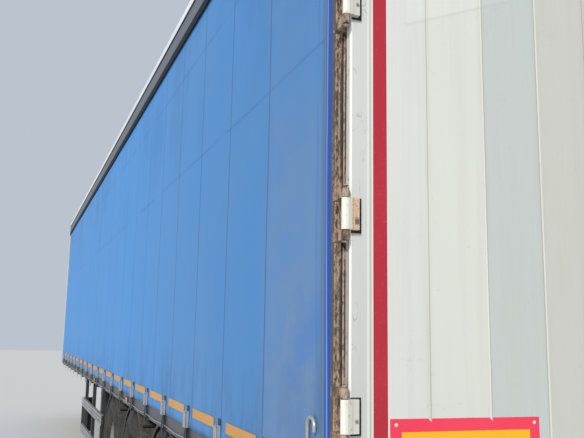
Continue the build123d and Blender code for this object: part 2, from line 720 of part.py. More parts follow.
# Door hinges: a sleeve round the pin with a leaf on the door's outer face
with BuildPart() as door_left_hinges:
    for height in HINGE_HEIGHTS:
        with BuildSketch(Plane.XY.offset(height - HINGE_SLEEVE / 2)):
            with BuildSketch(Plane.XY, mode=Mode.ADD):
                with Locations((HINGE_X, HINGE_Y)):
                    Circle(HINGE_R)
                with Locations((station(0), DOOR_EDGE_Y)):
                    Rectangle(HINGE_LEAF_THICK, HINGE_R, align=(Align.MAX, Align.MAX))
                make_hull()
            with Locations((station(0), DOOR_EDGE_Y)):
                Rectangle(HINGE_LEAF_THICK, HINGE_LEAF, align=(Align.MAX, Align.MAX))
            with Locations((HINGE_X, HINGE_Y)):
                Circle(HINGE_PIN_R + HINGE_PIN_PLAY, mode=Mode.SUBTRACT)
        extrude(amount=HINGE_SLEEVE)
with BuildPart() as door_right_hinges:
    add(door_left_hinges.part.mirror(Plane.XZ))
finish(door_left_hinges.part, "door_left_hinges")
finish(door_right_hinges.part, "door_right_hinges")

# Lock rods: rod in its channel, guides across it, cams at both ends and a folded handle
ROD_X = station(LOCK_ROD_X)
CAM_X = station(-LOCK_CAM_OUT)
LOCK_GUIDES = evenly(DOOR_BOTTOM + LOCK_GUIDE_INSET, DOOR_TOP - LOCK_GUIDE_INSET, LOCK_GUIDE_PITCH)
with BuildPart() as door_left_lock:
    with BuildSketch(Plane.XY.offset(DOOR_BOTTOM)):
        with Locations((ROD_X, LOCK_Y)):
            Circle(LOCK_ROD_R)
    extrude(amount=DOOR_TOP - DOOR_BOTTOM)
    for height in LOCK_GUIDES:
        with BuildSketch(Plane.XY.offset(height - LOCK_GUIDE / 2)):
            with Locations((station(0), LOCK_Y)):
                Rectangle(LOCK_GUIDE_OUT, LOCK_GUIDE_WIDTH, align=(Align.MAX, Align.CENTER))
        extrude(amount=LOCK_GUIDE)
    for bottom in (DOOR_BOTTOM - LOCK_CAM_REACH, DOOR_TOP - LOCK_CAM_REACH):
        with BuildSketch(Plane.XY.offset(bottom)):
            with Locations((CAM_X, LOCK_Y)):
                Rectangle(LOCK_CAM_THICK, LOCK_CAM_WIDTH, align=(Align.MAX, Align.CENTER))
        extrude(amount=2 * LOCK_CAM_REACH)
        with BuildSketch(Plane.XY.offset(bottom + LOCK_CAM_REACH if bottom < DOOR_BOTTOM else bottom)):
            with Locations((CAM_X, LOCK_Y)):
                Rectangle(LOCK_CAM_OUT, LOCK_CAM_WIDTH, align=(Align.MIN, Align.CENTER))
        extrude(amount=LOCK_CAM_REACH)
    with BuildSketch(Plane.XY.offset(LOCK_HANDLE_LOW)):
        with Locations((station(0), LOCK_Y)):
            Rectangle(LOCK_CAM_THICK, LOCK_ROD_R, align=(Align.MAX, Align.CENTER))
    extrude(amount=LOCK_HANDLE_HIGH - LOCK_HANDLE_LOW)
with BuildPart() as door_right_lock:
    add(door_left_lock.part.mirror(Plane.XZ))
finish(door_left_lock.part, "door_left_lock")
finish(door_right_lock.part, "door_right_lock")

# Cant rails: a hollow box over the curtain, with a drip lip hanging outside the curtain's top
with BuildPart() as cant_rail_left:
    with BuildSketch(Plane.YZ.offset(station(SILL_FRONT))):
        with Locations((POST_Y, RAIL_BOTTOM)):
            Rectangle(RAIL_DEPTH, RAIL_TOP - RAIL_BOTTOM, align=(Align.MAX, Align.MIN))
        with Locations((POST_Y - RAIL_WALL, RAIL_BOTTOM + RAIL_WALL)):
            Rectangle(
                RAIL_DEPTH - 2 * RAIL_WALL,
                RAIL_TOP - RAIL_BOTTOM - 2 * RAIL_WALL,
                align=(Align.MAX, Align.MIN),
                mode=Mode.SUBTRACT,
            )
        with Locations((POST_Y, RAIL_BOTTOM)):
            Rectangle(RAIL_WALL, RAIL_DRIP, align=(Align.MAX, Align.MAX))
    extrude(amount=DECK_LENGTH)
with BuildPart() as cant_rail_right:
    add(cant_rail_left.part.mirror(Plane.XZ))
finish(cant_rail_left.part, "cant_rail_left")
finish(cant_rail_right.part, "cant_rail_right")

# Roof cover: one sheet with rounded edges coming down to the rails
COVER_Y = POST_Y - ROOF_THICK
COVER_TOP = ROOF_HEIGHT - ROOF_THICK
with BuildPart() as roof_cover:
    with BuildSketch(Plane.YZ.offset(station(SILL_FRONT))):
        with BuildLine():
            outside = FilletPolyline(
                (-POST_Y, RAIL_TOP),
                (-POST_Y, ROOF_HEIGHT),
                (POST_Y, ROOF_HEIGHT),
                (POST_Y, RAIL_TOP),
                radius=ROOF_EDGE_R,
            )
            inside = FilletPolyline(
                (-COVER_Y, RAIL_TOP),
                (-COVER_Y, COVER_TOP),
                (COVER_Y, COVER_TOP),
                (COVER_Y, RAIL_TOP),
                radius=ROOF_EDGE_R - ROOF_THICK,
            )
            Line(outside @ 0, inside @ 0)
            Line(outside @ 1, inside @ 1)
        make_face()
    extrude(amount=DECK_LENGTH)
finish(roof_cover.part, "roof_cover")

# Roof bows: box tubes between the rails, under the cover
BOW_HEIGHT = COVER_TOP - RAIL_TOP
BOWS = evenly(SILL_FRONT + BOW_PITCH / 2, WALL_REAR - BOW_PITCH / 2, BOW_PITCH)
with BuildPart() as roof_bows:
    with BuildSketch(side_plane(POST_Y - BOW_INSET)):
        with Locations(*[(station(ahead), RAIL_TOP + BOW_HEIGHT / 2) for ahead in BOWS]):
            Rectangle(BOW_WIDTH, BOW_HEIGHT)
            Rectangle(BOW_WIDTH - 2 * BOW_WALL, BOW_HEIGHT - 2 * BOW_WALL, mode=Mode.SUBTRACT)
    extrude(amount=2 * (POST_Y - BOW_INSET))
finish(roof_bows.part, "roof_bows")

# Curtains: one sheet a side, from the rail to below the top of the rave
CURTAIN_END = WALL_REAR - CURTAIN_FRONT_GAP
with BuildPart() as curtain_left:
    with BuildSketch(side_plane(CURTAIN_Y)):
        with Locations((station(CURTAIN_REAR), CURTAIN_BOTTOM)):
            Rectangle(
                CURTAIN_END - CURTAIN_REAR, RAIL_BOTTOM - CURTAIN_BOTTOM, align=(Align.MIN, Align.MIN)
            )
    extrude(amount=CURTAIN_THICK)
with BuildPart() as curtain_right:
    add(curtain_left.part.mirror(Plane.XZ))
finish(curtain_left.part, "curtain_left")
finish(curtain_right.part, "curtain_right")

# Straps hooked under the raves, and their over-centre buckles
STRAP_Y = CURTAIN_Y
with BuildPart() as curtain_straps:
    with BuildSketch(Plane.YZ.offset(station(STRAP_STATIONS[0]) - STRAP_WIDTH / 2)):
        with BuildLine():
            Polyline(
                (STRAP_Y, STRAP_TOP),
                (STRAP_Y + STRAP_THICK, STRAP_TOP),
                (STRAP_Y + STRAP_THICK, RAVE_BOTTOM - STRAP_DROP),
                (RAVE_Y - RAVE_LIP, RAVE_BOTTOM - STRAP_DROP),
                (RAVE_Y - RAVE_LIP, RAVE_BOTTOM),
                (STRAP_Y, RAVE_BOTTOM),
                close=True,
            )
        make_face()
    extrude(amount=STRAP_WIDTH)
    one_strap = curtain_straps.part
    with Locations(*[(STRAP_PITCH * step, 0, 0) for step in range(1, len(STRAP_STATIONS))]):
        add(one_strap)
    mirror(about=Plane.XZ)
finish(curtain_straps.part, "curtain_straps")

with BuildPart() as curtain_buckles:
    with BuildSketch(side_plane(STRAP_Y + STRAP_THICK + BUCKLE_THICK)):
        with Locations(*[(station(ahead), BUCKLE_BOTTOM) for ahead in STRAP_STATIONS]):
            Rectangle(BUCKLE_WIDTH, BUCKLE_HEIGHT, align=(Align.CENTER, Align.MIN))
    extrude(amount=BUCKLE_THICK)
    mirror(about=Plane.XZ)
finish(curtain_buckles.part, "curtain_buckles")

# Curtain poles inside the curtains' ends
POLE_Y = CURTAIN_Y - CURTAIN_THICK - POLE_R
POLE_ENDS = (CURTAIN_REAR + POLE_FROM_EDGE, CURTAIN_END - POLE_FROM_EDGE)
with BuildPart() as curtain_poles:
    with BuildSketch(Plane.XY.offset(DECK_TOP)):
        with Locations(*[(station(ahead), side * POLE_Y) for ahead in POLE_ENDS for side in (1, -1)]):
            Circle(POLE_R)
    extrude(amount=RAIL_BOTTOM - DECK_TOP)
finish(curtain_poles.part, "curtain_poles")

# Rear tensioners: a ratchet case on the rave below the pole, and a hooked rod lever
LEVER_Y = CURTAIN_Y + LEVER_ROD_R + STRAP_GAP
LEVER_X = station(LEVER_AHEAD)
LEVER_START = BUCKLE_BOTTOM
with BuildPart() as curtain_tensioners:
    with BuildLine():
        Polyline(
            (LEVER_X, LEVER_Y, LEVER_START),
            (LEVER_X, LEVER_Y, LEVER_TOP - LEVER_BEND_R),
        )
        ThreePointArc(
            (LEVER_X, LEVER_Y, LEVER_TOP - LEVER_BEND_R),
            (LEVER_X - LEVER_BEND_R, LEVER_Y, LEVER_TOP),
            (LEVER_X - 2 * LEVER_BEND_R, LEVER_Y, LEVER_TOP - LEVER_BEND_R),
        )
        Line(
            (LEVER_X - 2 * LEVER_BEND_R, LEVER_Y, LEVER_TOP - LEVER_BEND_R),
            (LEVER_X - 2 * LEVER_BEND_R, LEVER_Y, LEVER_TOP - LEVER_HOOK),
        )
    with BuildSketch(Plane.XY.offset(LEVER_START)):
        with Locations((LEVER_X, LEVER_Y)):
            Circle(LEVER_ROD_R)
    sweep()
    with BuildSketch(side_plane(RAVE_Y)):
        with Locations((LEVER_X + LEVER_ROD_R, CURTAIN_BOTTOM - STRAP_GAP)):
            Rectangle(TENSIONER_WIDTH, TENSIONER_HEIGHT, align=(Align.MAX, Align.MAX))
    extrude(amount=-TENSIONER_OUT)
    with BuildSketch(Plane.XY.offset(CURTAIN_BOTTOM - STRAP_GAP - TENSIONER_HEIGHT / 2)):
        with Locations((LEVER_X, LEVER_Y)):
            Circle(LEVER_ROD_R)
    extrude(amount=TENSIONER_HEIGHT / 2 + STRAP_GAP)
    mirror(about=Plane.XZ)
finish(curtain_tensioners.part, "curtain_tensioners")

# Side pillars at even bays, and slats hung between them
BAY = DECK_LENGTH / (PILLAR_COUNT + 1)
PILLARS = [SILL_FRONT + BAY * (index + 1) for index in range(PILLAR_COUNT)]
SLAT_ENDS = [
    (
        SILL_FRONT + BAY * index + (PILLAR_LENGTH / 2 if index else 0),
        SILL_FRONT + BAY * (index + 1) - (PILLAR_LENGTH / 2 if index < PILLAR_COUNT else 0),
    )
    for index in range(PILLAR_COUNT + 1)
]
PILLAR_OUTER = RAVE_INNER
with BuildPart() as side_pillars:
    with BuildSketch(Plane.XY.offset(DECK_TOP)):
        with Locations(*[(station(ahead), PILLAR_OUTER) for ahead in PILLARS]):
            Rectangle(PILLAR_LENGTH, PILLAR_DEPTH, align=(Align.CENTER, Align.MAX))
        with Locations(*[(station(ahead), PILLAR_OUTER - PILLAR_WALL) for ahead in PILLARS]):
            Rectangle(
                PILLAR_LENGTH - 2 * PILLAR_WALL,
                PILLAR_DEPTH - 2 * PILLAR_WALL,
                align=(Align.CENTER, Align.MAX),
                mode=Mode.SUBTRACT,
            )
    extrude(amount=RAIL_BOTTOM - DECK_TOP)
    mirror(about=Plane.XZ)
finish(side_pillars.part, "side_pillars")

SLAT_OUTER = POLE_Y - POLE_R - SIDE_GAP
with BuildPart() as side_slats:
    with BuildSketch(side_plane(SLAT_OUTER)):
        for level in SLAT_LEVELS:
            for low, high in SLAT_ENDS:
                with Locations((station(low), level)):
                    Rectangle(high - low, SLAT_HEIGHT, align=(Align.MIN, Align.CENTER))
    extrude(amount=SLAT_THICK)
    mirror(about=Plane.XZ)
finish(side_slats.part, "side_slats")

# Axles: a square beam with a spindle at each end, brake chambers behind it, and dampers that lean to
# the rear from the beam up to a pin in each chassis beam's web
SPINDLE_END = WHEEL_Y + HUB_FACE_OUT - HUB_CAP_R / 2
DRUM_FACE = WHEEL_Y - TYRE_WIDTH / 2 + DRUM_INSET
AXLE_BEAM_END = DRUM_FACE - DRUM_GAP
ARM_BOTTOM = AXLE_Z + AXLE_BEAM / 2
WEB_INNER = BEAM_Y - BEAM_WEB / 2
DAMPER_Y = BEAM_Y - BEAM_FLANGE_WIDTH / 2 - DAMPER_R - DAMPER_CLEAR
with BuildPart() as axles:
    for name, ahead in AXLES:
        with BuildSketch(side_plane(SPINDLE_END)):
            with Locations((station(ahead), AXLE_Z)):
                Circle(AXLE_SPINDLE_R)
        extrude(amount=SPINDLE_END)
        with BuildSketch(side_plane(AXLE_BEAM_END)):
            with Locations((station(ahead), AXLE_Z)):
                Rectangle(AXLE_BEAM, AXLE_BEAM)
        extrude(amount=AXLE_BEAM_END)
        with BuildSketch(Plane(origin=(station(ahead), BEAM_Y / 2, AXLE_Z), z_dir=(-1, 0, 0))):
            Circle(CHAMBER_R)
        extrude(amount=AXLE_BEAM / 2 + CHAMBER_LENGTH)
        foot = Plane(
            origin=(station(ahead), DAMPER_Y, ARM_BOTTOM),
            z_dir=(-sin(radians(DAMPER_LEAN)), 0, cos(radians(DAMPER_LEAN))),
        )
        with BuildSketch(foot.offset(-DAMPER_R)):
            Circle(DAMPER_ROD_R)
        extrude(amount=DAMPER_R + DAMPER_LENGTH)
        with BuildSketch(foot.offset(DAMPER_R)):
            Circle(DAMPER_R)
        extrude(amount=DAMPER_LENGTH - 3 * DAMPER_R)
        head = foot.offset(DAMPER_LENGTH).origin
        with BuildSketch(side_plane(WEB_INNER)):
            with Locations((head.X, head.Z)):
                Circle(DAMPER_R / 2)
        extrude(amount=WEB_INNER - DAMPER_Y + DAMPER_R / 2)
    mirror(about=Plane.XZ)
finish(axles.part, "axles")

# Trailing arms over the axles, hangers under the beams
with BuildPart() as trailing_arms:
    for name, ahead in AXLES:
        with BuildSketch(side_plane(BEAM_Y + ARM_WIDTH / 2)):
            with BuildLine():
                Polyline(
                    (station(ahead - ARM_REAR - BELLOWS_R / 2), ARM_BOTTOM - ARM_DROP),
                    (station(ahead - AXLE_BEAM * ARM_BEND_LOW), ARM_BOTTOM - ARM_DROP),
                    (station(ahead - AXLE_BEAM / 2), ARM_BOTTOM),
                    (station(ahead + AXLE_BEAM), ARM_BOTTOM),
                    (station(ahead + ARM_FRONT), ARM_BOTTOM - ARM_DEPTH / 4),
                    (station(ahead + ARM_FRONT), ARM_BOTTOM + ARM_DEPTH * 3 / 4),
                    (station(ahead + AXLE_BEAM), ARM_BOTTOM + ARM_DEPTH),
                    (station(ahead - AXLE_BEAM * ARM_BEND_TOP), ARM_BOTTOM + ARM_DEPTH),
                    (station(ahead - AXLE_BEAM * ARM_BEND_TAIL), ARM_BOTTOM - ARM_DROP / 2),
                    (station(ahead - ARM_REAR - BELLOWS_R / 2), ARM_BOTTOM - ARM_DROP / 2),
                    close=True,
                )
            make_face()
            with Locations((station(ahead + ARM_FRONT), ARM_BOTTOM + ARM_DEPTH / 4)):
                Circle(HANGER_EYE_R)
        extrude(amount=ARM_WIDTH)
    mirror(about=Plane.XZ)
finish(trailing_arms.part, "trailing_arms")

with BuildPart() as suspension_hangers:
    for name, ahead in AXLES:
        with BuildSketch(side_plane(BEAM_Y + HANGER_WIDTH / 2)):
            with BuildLine():
                Polyline(
                    (station(ahead + ARM_FRONT) - HANGER_LENGTH / 2, MAIN_BOTTOM),
                    (station(ahead + ARM_FRONT) - HANGER_EYE_R, ARM_BOTTOM - HANGER_EYE_R),
                    (station(ahead + ARM_FRONT) + HANGER_EYE_R, ARM_BOTTOM - HANGER_EYE_R),
                    (station(ahead + ARM_FRONT) + HANGER_LENGTH / 2, MAIN_BOTTOM),
                    close=True,
                )
            make_face()
        extrude(amount=HANGER_WIDTH)
        with BuildSketch(side_plane(BEAM_Y + ARM_WIDTH / 2)):
            with Locations((station(ahead + ARM_FRONT), ARM_BOTTOM - HANGER_EYE_R)):
                Rectangle(2 * HANGER_LENGTH, HANGER_SLOT, align=(Align.CENTER, Align.MIN))
        extrude(amount=ARM_WIDTH, mode=Mode.SUBTRACT)
    mirror(about=Plane.XZ)
finish(suspension_hangers.part, "suspension_hangers")

# Air springs between the arms' tails and the beams
SPRING_BOTTOM = ARM_BOTTOM - ARM_DROP / 2
SPRING_HEIGHT = MAIN_BOTTOM - SPRING_BOTTOM
with BuildPart() as air_springs:
    for name, ahead in AXLES:
        SPRING_X = station(ahead - ARM_REAR)
        with BuildSketch(Plane(origin=(SPRING_X, BEAM_Y, SPRING_BOTTOM), x_dir=(1, 0, 0), z_dir=(0, -1, 0))):
            with BuildLine():
                Polyline(
                    *[(BELLOWS_R * out, SPRING_HEIGHT * up) for out, up in BELLOWS_PROFILE], close=True
                )
            make_face()
        revolve(axis=Axis((SPRING_X, BEAM_Y, 0), (0, 0, 1)))
    mirror(about=Plane.XZ)
finish(air_springs.part, "air_springs")

# Mudguards: an arc over each wheel with a lip along its outer edge, on two arms from the beam, and
# flaps behind the last pair
GUARD_R = WHEEL_R + GUARD_GAP
GUARD_OUTER_Y = RAVE_Y - RAVE_LIP - GUARD_EDGE_GAP
ARM_REACH = GUARD_R + GUARD_THICK + GUARD_ARM_R - GUARD_ARM_SINK
with BuildPart() as mudguards:
    for name, ahead in AXLES:
        tail = GUARD_TAIL_ANGLE if ahead == REAR_AXLE else GUARD_HALF_ANGLE
        centre = (station(ahead), AXLE_Z)
        for inner_r, depth in ((GUARD_R, GUARD_WIDTH), (GUARD_R - GUARD_LIP, GUARD_THICK)):
            with BuildSketch(side_plane(GUARD_OUTER_Y)):
                with BuildLine():
                    start = 90 - GUARD_HALF_ANGLE
                    outer = CenterArc(centre, GUARD_R + GUARD_THICK, start, GUARD_HALF_ANGLE + tail)
                    inner = CenterArc(centre, inner_r, start, GUARD_HALF_ANGLE + tail)
                    Line(outer @ 0, inner @ 0)
                    Line(outer @ 1, inner @ 1)
                make_face()
            extrude(amount=depth)
        for side in (1, -1):
            with BuildSketch(side_plane(GUARD_OUTER_Y - GUARD_ARM_R)):
                with Locations(
                    (
                        station(ahead) + side * ARM_REACH * sin(radians(GUARD_ARM_ANGLE)),
                        AXLE_Z + ARM_REACH * cos(radians(GUARD_ARM_ANGLE)),
                    )
                ):
                    Circle(GUARD_ARM_R)
            extrude(amount=GUARD_OUTER_Y - GUARD_ARM_R - ROOT_Y)
    mirror(about=Plane.XZ)
finish(mudguards.part, "mudguards")

FLAP_X = station(REAR_AXLE) - GUARD_R * sin(radians(GUARD_TAIL_ANGLE))
FLAP_TOP = AXLE_Z + GUARD_R * cos(radians(GUARD_TAIL_ANGLE))
with BuildPart() as spray_flaps:
    with BuildSketch(side_plane(GUARD_OUTER_Y)):
        with Locations((FLAP_X, FLAP_TOP)):
            Rectangle(FLAP_THICK, FLAP_TOP - FLAP_BOTTOM, align=(Align.MAX, Align.MAX))
    extrude(amount=GUARD_WIDTH)
    mirror(about=Plane.XZ)
finish(spray_flaps.part, "spray_flaps")

# Wheels: tyre, then rim with pierced disc, hub and brake drum, one pair of nodes for each wheel
HUB_SHELF = HUB_FACE_OUT - HUB_DISH
DISC_ROOT_R = HUB_R + DISC_RISE
DISC_EDGE_R = TYRE_BEAD_R - DISC_DROP
DRUM_OUT = DISC_OUT - DRUM_BACK
TYRE_HALF = TYRE_WIDTH / 2
RIM_HALF = RIM_WIDTH / 2
SIDES = (("left", 1), ("right", -1))
for name, ahead in AXLES:
    for side_name, side in SIDES:
        centre = (station(ahead), side * WHEEL_Y, AXLE_Z)
        spin = Axis(centre, (0, 1, 0))
        section = Plane(origin=centre, x_dir=(0, side, 0), z_dir=(side, 0, 0))
        with BuildPart() as tyre:
            with BuildSketch(section):
                with BuildLine():
                    Polyline(
                        (RIM_HALF - RIM_WALL, TYRE_BEAD_R),
                        (TYRE_HALF - TYRE_SHOULDER / 2, TYRE_BEAD_R + TYRE_SHOULDER),
                        (TYRE_HALF, (TYRE_BEAD_R + WHEEL_R) / 2),
                        (TYRE_HALF - TYRE_SHOULDER / 3, WHEEL_R - TYRE_SHOULDER),
                        (TYRE_HALF - TYRE_SHOULDER, WHEEL_R),
                        (TYRE_SHOULDER - TYRE_HALF, WHEEL_R),
                        (TYRE_SHOULDER / 3 - TYRE_HALF, WHEEL_R - TYRE_SHOULDER),
                        (-TYRE_HALF, (TYRE_BEAD_R + WHEEL_R) / 2),
                        (TYRE_SHOULDER / 2 - TYRE_HALF, TYRE_BEAD_R + TYRE_SHOULDER),
                        (RIM_WALL - RIM_HALF, TYRE_BEAD_R),
                        close=True,
                    )
                make_face()
            revolve(axis=spin)
        finish(tyre.part, f"tyre_{name}_{side_name}")
        with BuildPart() as rim:
            with BuildSketch(section):
                with BuildLine():
                    Polyline(
                        (-RIM_HALF, TYRE_BEAD_R),
                        (-RIM_HALF, TYRE_BEAD_R - RIM_WALL),
                        (DISC_OUT, DISC_EDGE_R),
                        (DISC_OUT, DISC_ROOT_R),
                        (HUB_SHELF, HUB_R),
                        (HUB_SHELF + DISC_THICK, HUB_R),
                        (DISC_OUT + DISC_THICK, DISC_ROOT_R),
                        (DISC_OUT + DISC_THICK, DISC_EDGE_R),
                        (RIM_HALF, TYRE_BEAD_R - RIM_WALL),
                        (RIM_HALF, TYRE_BEAD_R),
                        close=True,
                    )
                make_face()
            revolve(axis=spin)
            disc_face = Plane(origin=centre, x_dir=(1, 0, 0), z_dir=(0, side, 0)).offset(DISC_OUT)
            with BuildSketch(disc_face):
                with PolarLocations(HAND_HOLE_CIRCLE, HAND_HOLE_COUNT):
                    Circle(HAND_HOLE_R)
            extrude(amount=DISC_THICK, mode=Mode.SUBTRACT)
            with BuildSketch(section):
                with BuildLine():
                    Polyline(
                        (DRUM_FACE - WHEEL_Y, AXLE_SPINDLE_R + HUB_BORE_PLAY),
                        (DRUM_FACE - WHEEL_Y, DRUM_R),
                        (DRUM_OUT, DRUM_R),
                        (DRUM_OUT, HUB_R),
                        (HUB_SHELF + DISC_THICK, HUB_R),
                        (HUB_SHELF + DISC_THICK, HUB_CAP_R),
                        (HUB_FACE_OUT, HUB_CAP_R - HUB_CAP_TAPER),
                        (HUB_FACE_OUT, 0),
                        (HUB_FACE_OUT - HUB_CAP_THICK, 0),
                        (HUB_FACE_OUT - HUB_CAP_THICK, AXLE_SPINDLE_R + HUB_BORE_PLAY),
                        close=True,
                    )
                make_face()
            revolve(axis=spin)
        finish(rim.part, f"rim_{name}_{side_name}")

# Side guards: two grooved rails a side
GUARD_Y = RAVE_Y
GUARD_GROOVES = [
    GUARD_RAIL_HEIGHT * (index + 1) / (GUARD_GROOVE_COUNT + 1) for index in range(GUARD_GROOVE_COUNT)
]
with BuildPart() as side_guards:
    with BuildSketch(Plane.YZ.offset(station(GUARD_RAIL_REAR))):
        for low in (GUARD_RAIL_LOW, GUARD_RAIL_HIGH):
            with Locations((GUARD_Y, low)):
                Rectangle(GUARD_RAIL_DEPTH, GUARD_RAIL_HEIGHT, align=(Align.MAX, Align.MIN))
            with Locations(*[(GUARD_Y, low + rise) for rise in GUARD_GROOVES]):
                Rectangle(
                    GUARD_GROOVE, GUARD_GROOVE, align=(Align.MAX, Align.CENTER), mode=Mode.SUBTRACT
                )
    extrude(amount=GUARD_RAIL_FRONT - GUARD_RAIL_REAR)
    mirror(about=Plane.XZ)
finish(side_guards.part, "side_guards")

# Posts that hang the side guards' rails from the outriggers, and a plate across the rails' front ends
GUARD_POST_Y = GUARD_Y - GUARD_RAIL_DEPTH
GUARD_POSTS = [
    nearest_cross(place)
    for place in (
        GUARD_RAIL_REAR + GUARD_POST_INSET,
        (GUARD_RAIL_REAR + GUARD_RAIL_FRONT) / 2,
        GUARD_RAIL_FRONT - GUARD_POST_INSET,
    )
]
with BuildPart() as side_guard_posts:
    with BuildSketch(side_plane(GUARD_POST_Y)):
        with Locations(*[(station(ahead) + CROSS_WALL, GUARD_RAIL_LOW) for ahead in GUARD_POSTS]):
            Rectangle(
                GUARD_POST_WIDTH,
                BEAM_TOP - OUTRIGGER_TIP - GUARD_RAIL_LOW,
                align=(Align.MIN, Align.MIN),
            )
    extrude(amount=GUARD_POST_DEPTH)
    with BuildSketch(Plane.YZ.offset(station(GUARD_RAIL_FRONT))):
        with Locations((GUARD_Y, GUARD_RAIL_LOW)):
            Rectangle(
                GUARD_END_INWARD,
                GUARD_RAIL_HIGH + GUARD_RAIL_HEIGHT - GUARD_RAIL_LOW,
                align=(Align.MAX, Align.MIN),
            )
    extrude(amount=GUARD_RAIL_DEPTH)
    mirror(about=Plane.XZ)
finish(side_guard_posts.part, "side_guard_posts")

# Rear underrun bar on two brackets from the beams' tails
with BuildPart() as underrun_bar:
    with BuildSketch(side_plane(UNDERRUN_HALF_WIDTH)):
        with Locations((station(UNDERRUN_FACE), UNDERRUN_LOW)):
            Rectangle(UNDERRUN_DEPTH, UNDERRUN_HEIGHT, align=(Align.MIN, Align.MIN))
    extrude(amount=2 * UNDERRUN_HALF_WIDTH)
    chamfer(underrun_bar.edges().filter_by(Axis.Z).group_by(Axis.X)[0], UNDERRUN_END_CUT)
    for side in (1, -1):
        with BuildSketch(side_plane(side * BEAM_Y + UNDERRUN_BRACKET / 2)):
            with Locations((station(UNDERRUN_FACE + UNDERRUN_DEPTH), UNDERRUN_LOW)):
                Rectangle(UNDERRUN_BRACKET, TAIL_BOTTOM - UNDERRUN_LOW, align=(Align.MIN, Align.MIN))
        extrude(amount=UNDERRUN_BRACKET)
finish(underrun_bar.part, "underrun_bar")

# Lamp beam under the sill, with a row of three lamp cells each side
with BuildPart() as lamp_beam:
    with BuildSketch(side_plane(POST_Y)):
        with Locations((station(LAMP_BEAM_FACE), SILL_BOTTOM)):
            Rectangle(LAMP_BEAM_DEPTH, LAMP_BEAM_HEIGHT, align=(Align.MIN, Align.MAX))
    extrude(amount=2 * POST_Y)
finish(lamp_beam.part, "lamp_beam")

LAMP_CELL = (LAMP_OUTER - LAMP_INNER) / LAMP_CELL_COUNT
with BuildPart() as rear_lamps:
    with BuildSketch(Plane.YZ.offset(station(LAMP_BEAM_FACE))):
        for cell in range(LAMP_CELL_COUNT):
            with Locations((LAMP_INNER + LAMP_CELL * (cell + 0.5), SILL_BOTTOM - LAMP_BEAM_HEIGHT / 2)):
                Rectangle(LAMP_CELL - LAMP_CELL_GAP, LAMP_HEIGHT)
    extrude(amount=-LAMP_OUT)
    mirror(about=Plane.XZ)
finish(rear_lamps.part, "rear_lamps")

# Rubber buffers on the sill's step
with BuildPart() as rear_buffers:
    with BuildSketch(Plane.YZ.offset(station(0))):
        with Locations((BUFFER_INNER, BUFFER_BOTTOM)):
            Rectangle(BUFFER_WIDTH, BUFFER_HEIGHT, align=(Align.MIN, Align.MIN))
    extrude(amount=-BUFFER_OUT)
    chamfer(rear_buffers.faces().sort_by(Axis.X)[0].edges(), BUFFER_EDGE)
    mirror(about=Plane.XZ)
finish(rear_buffers.part, "rear_buffers")

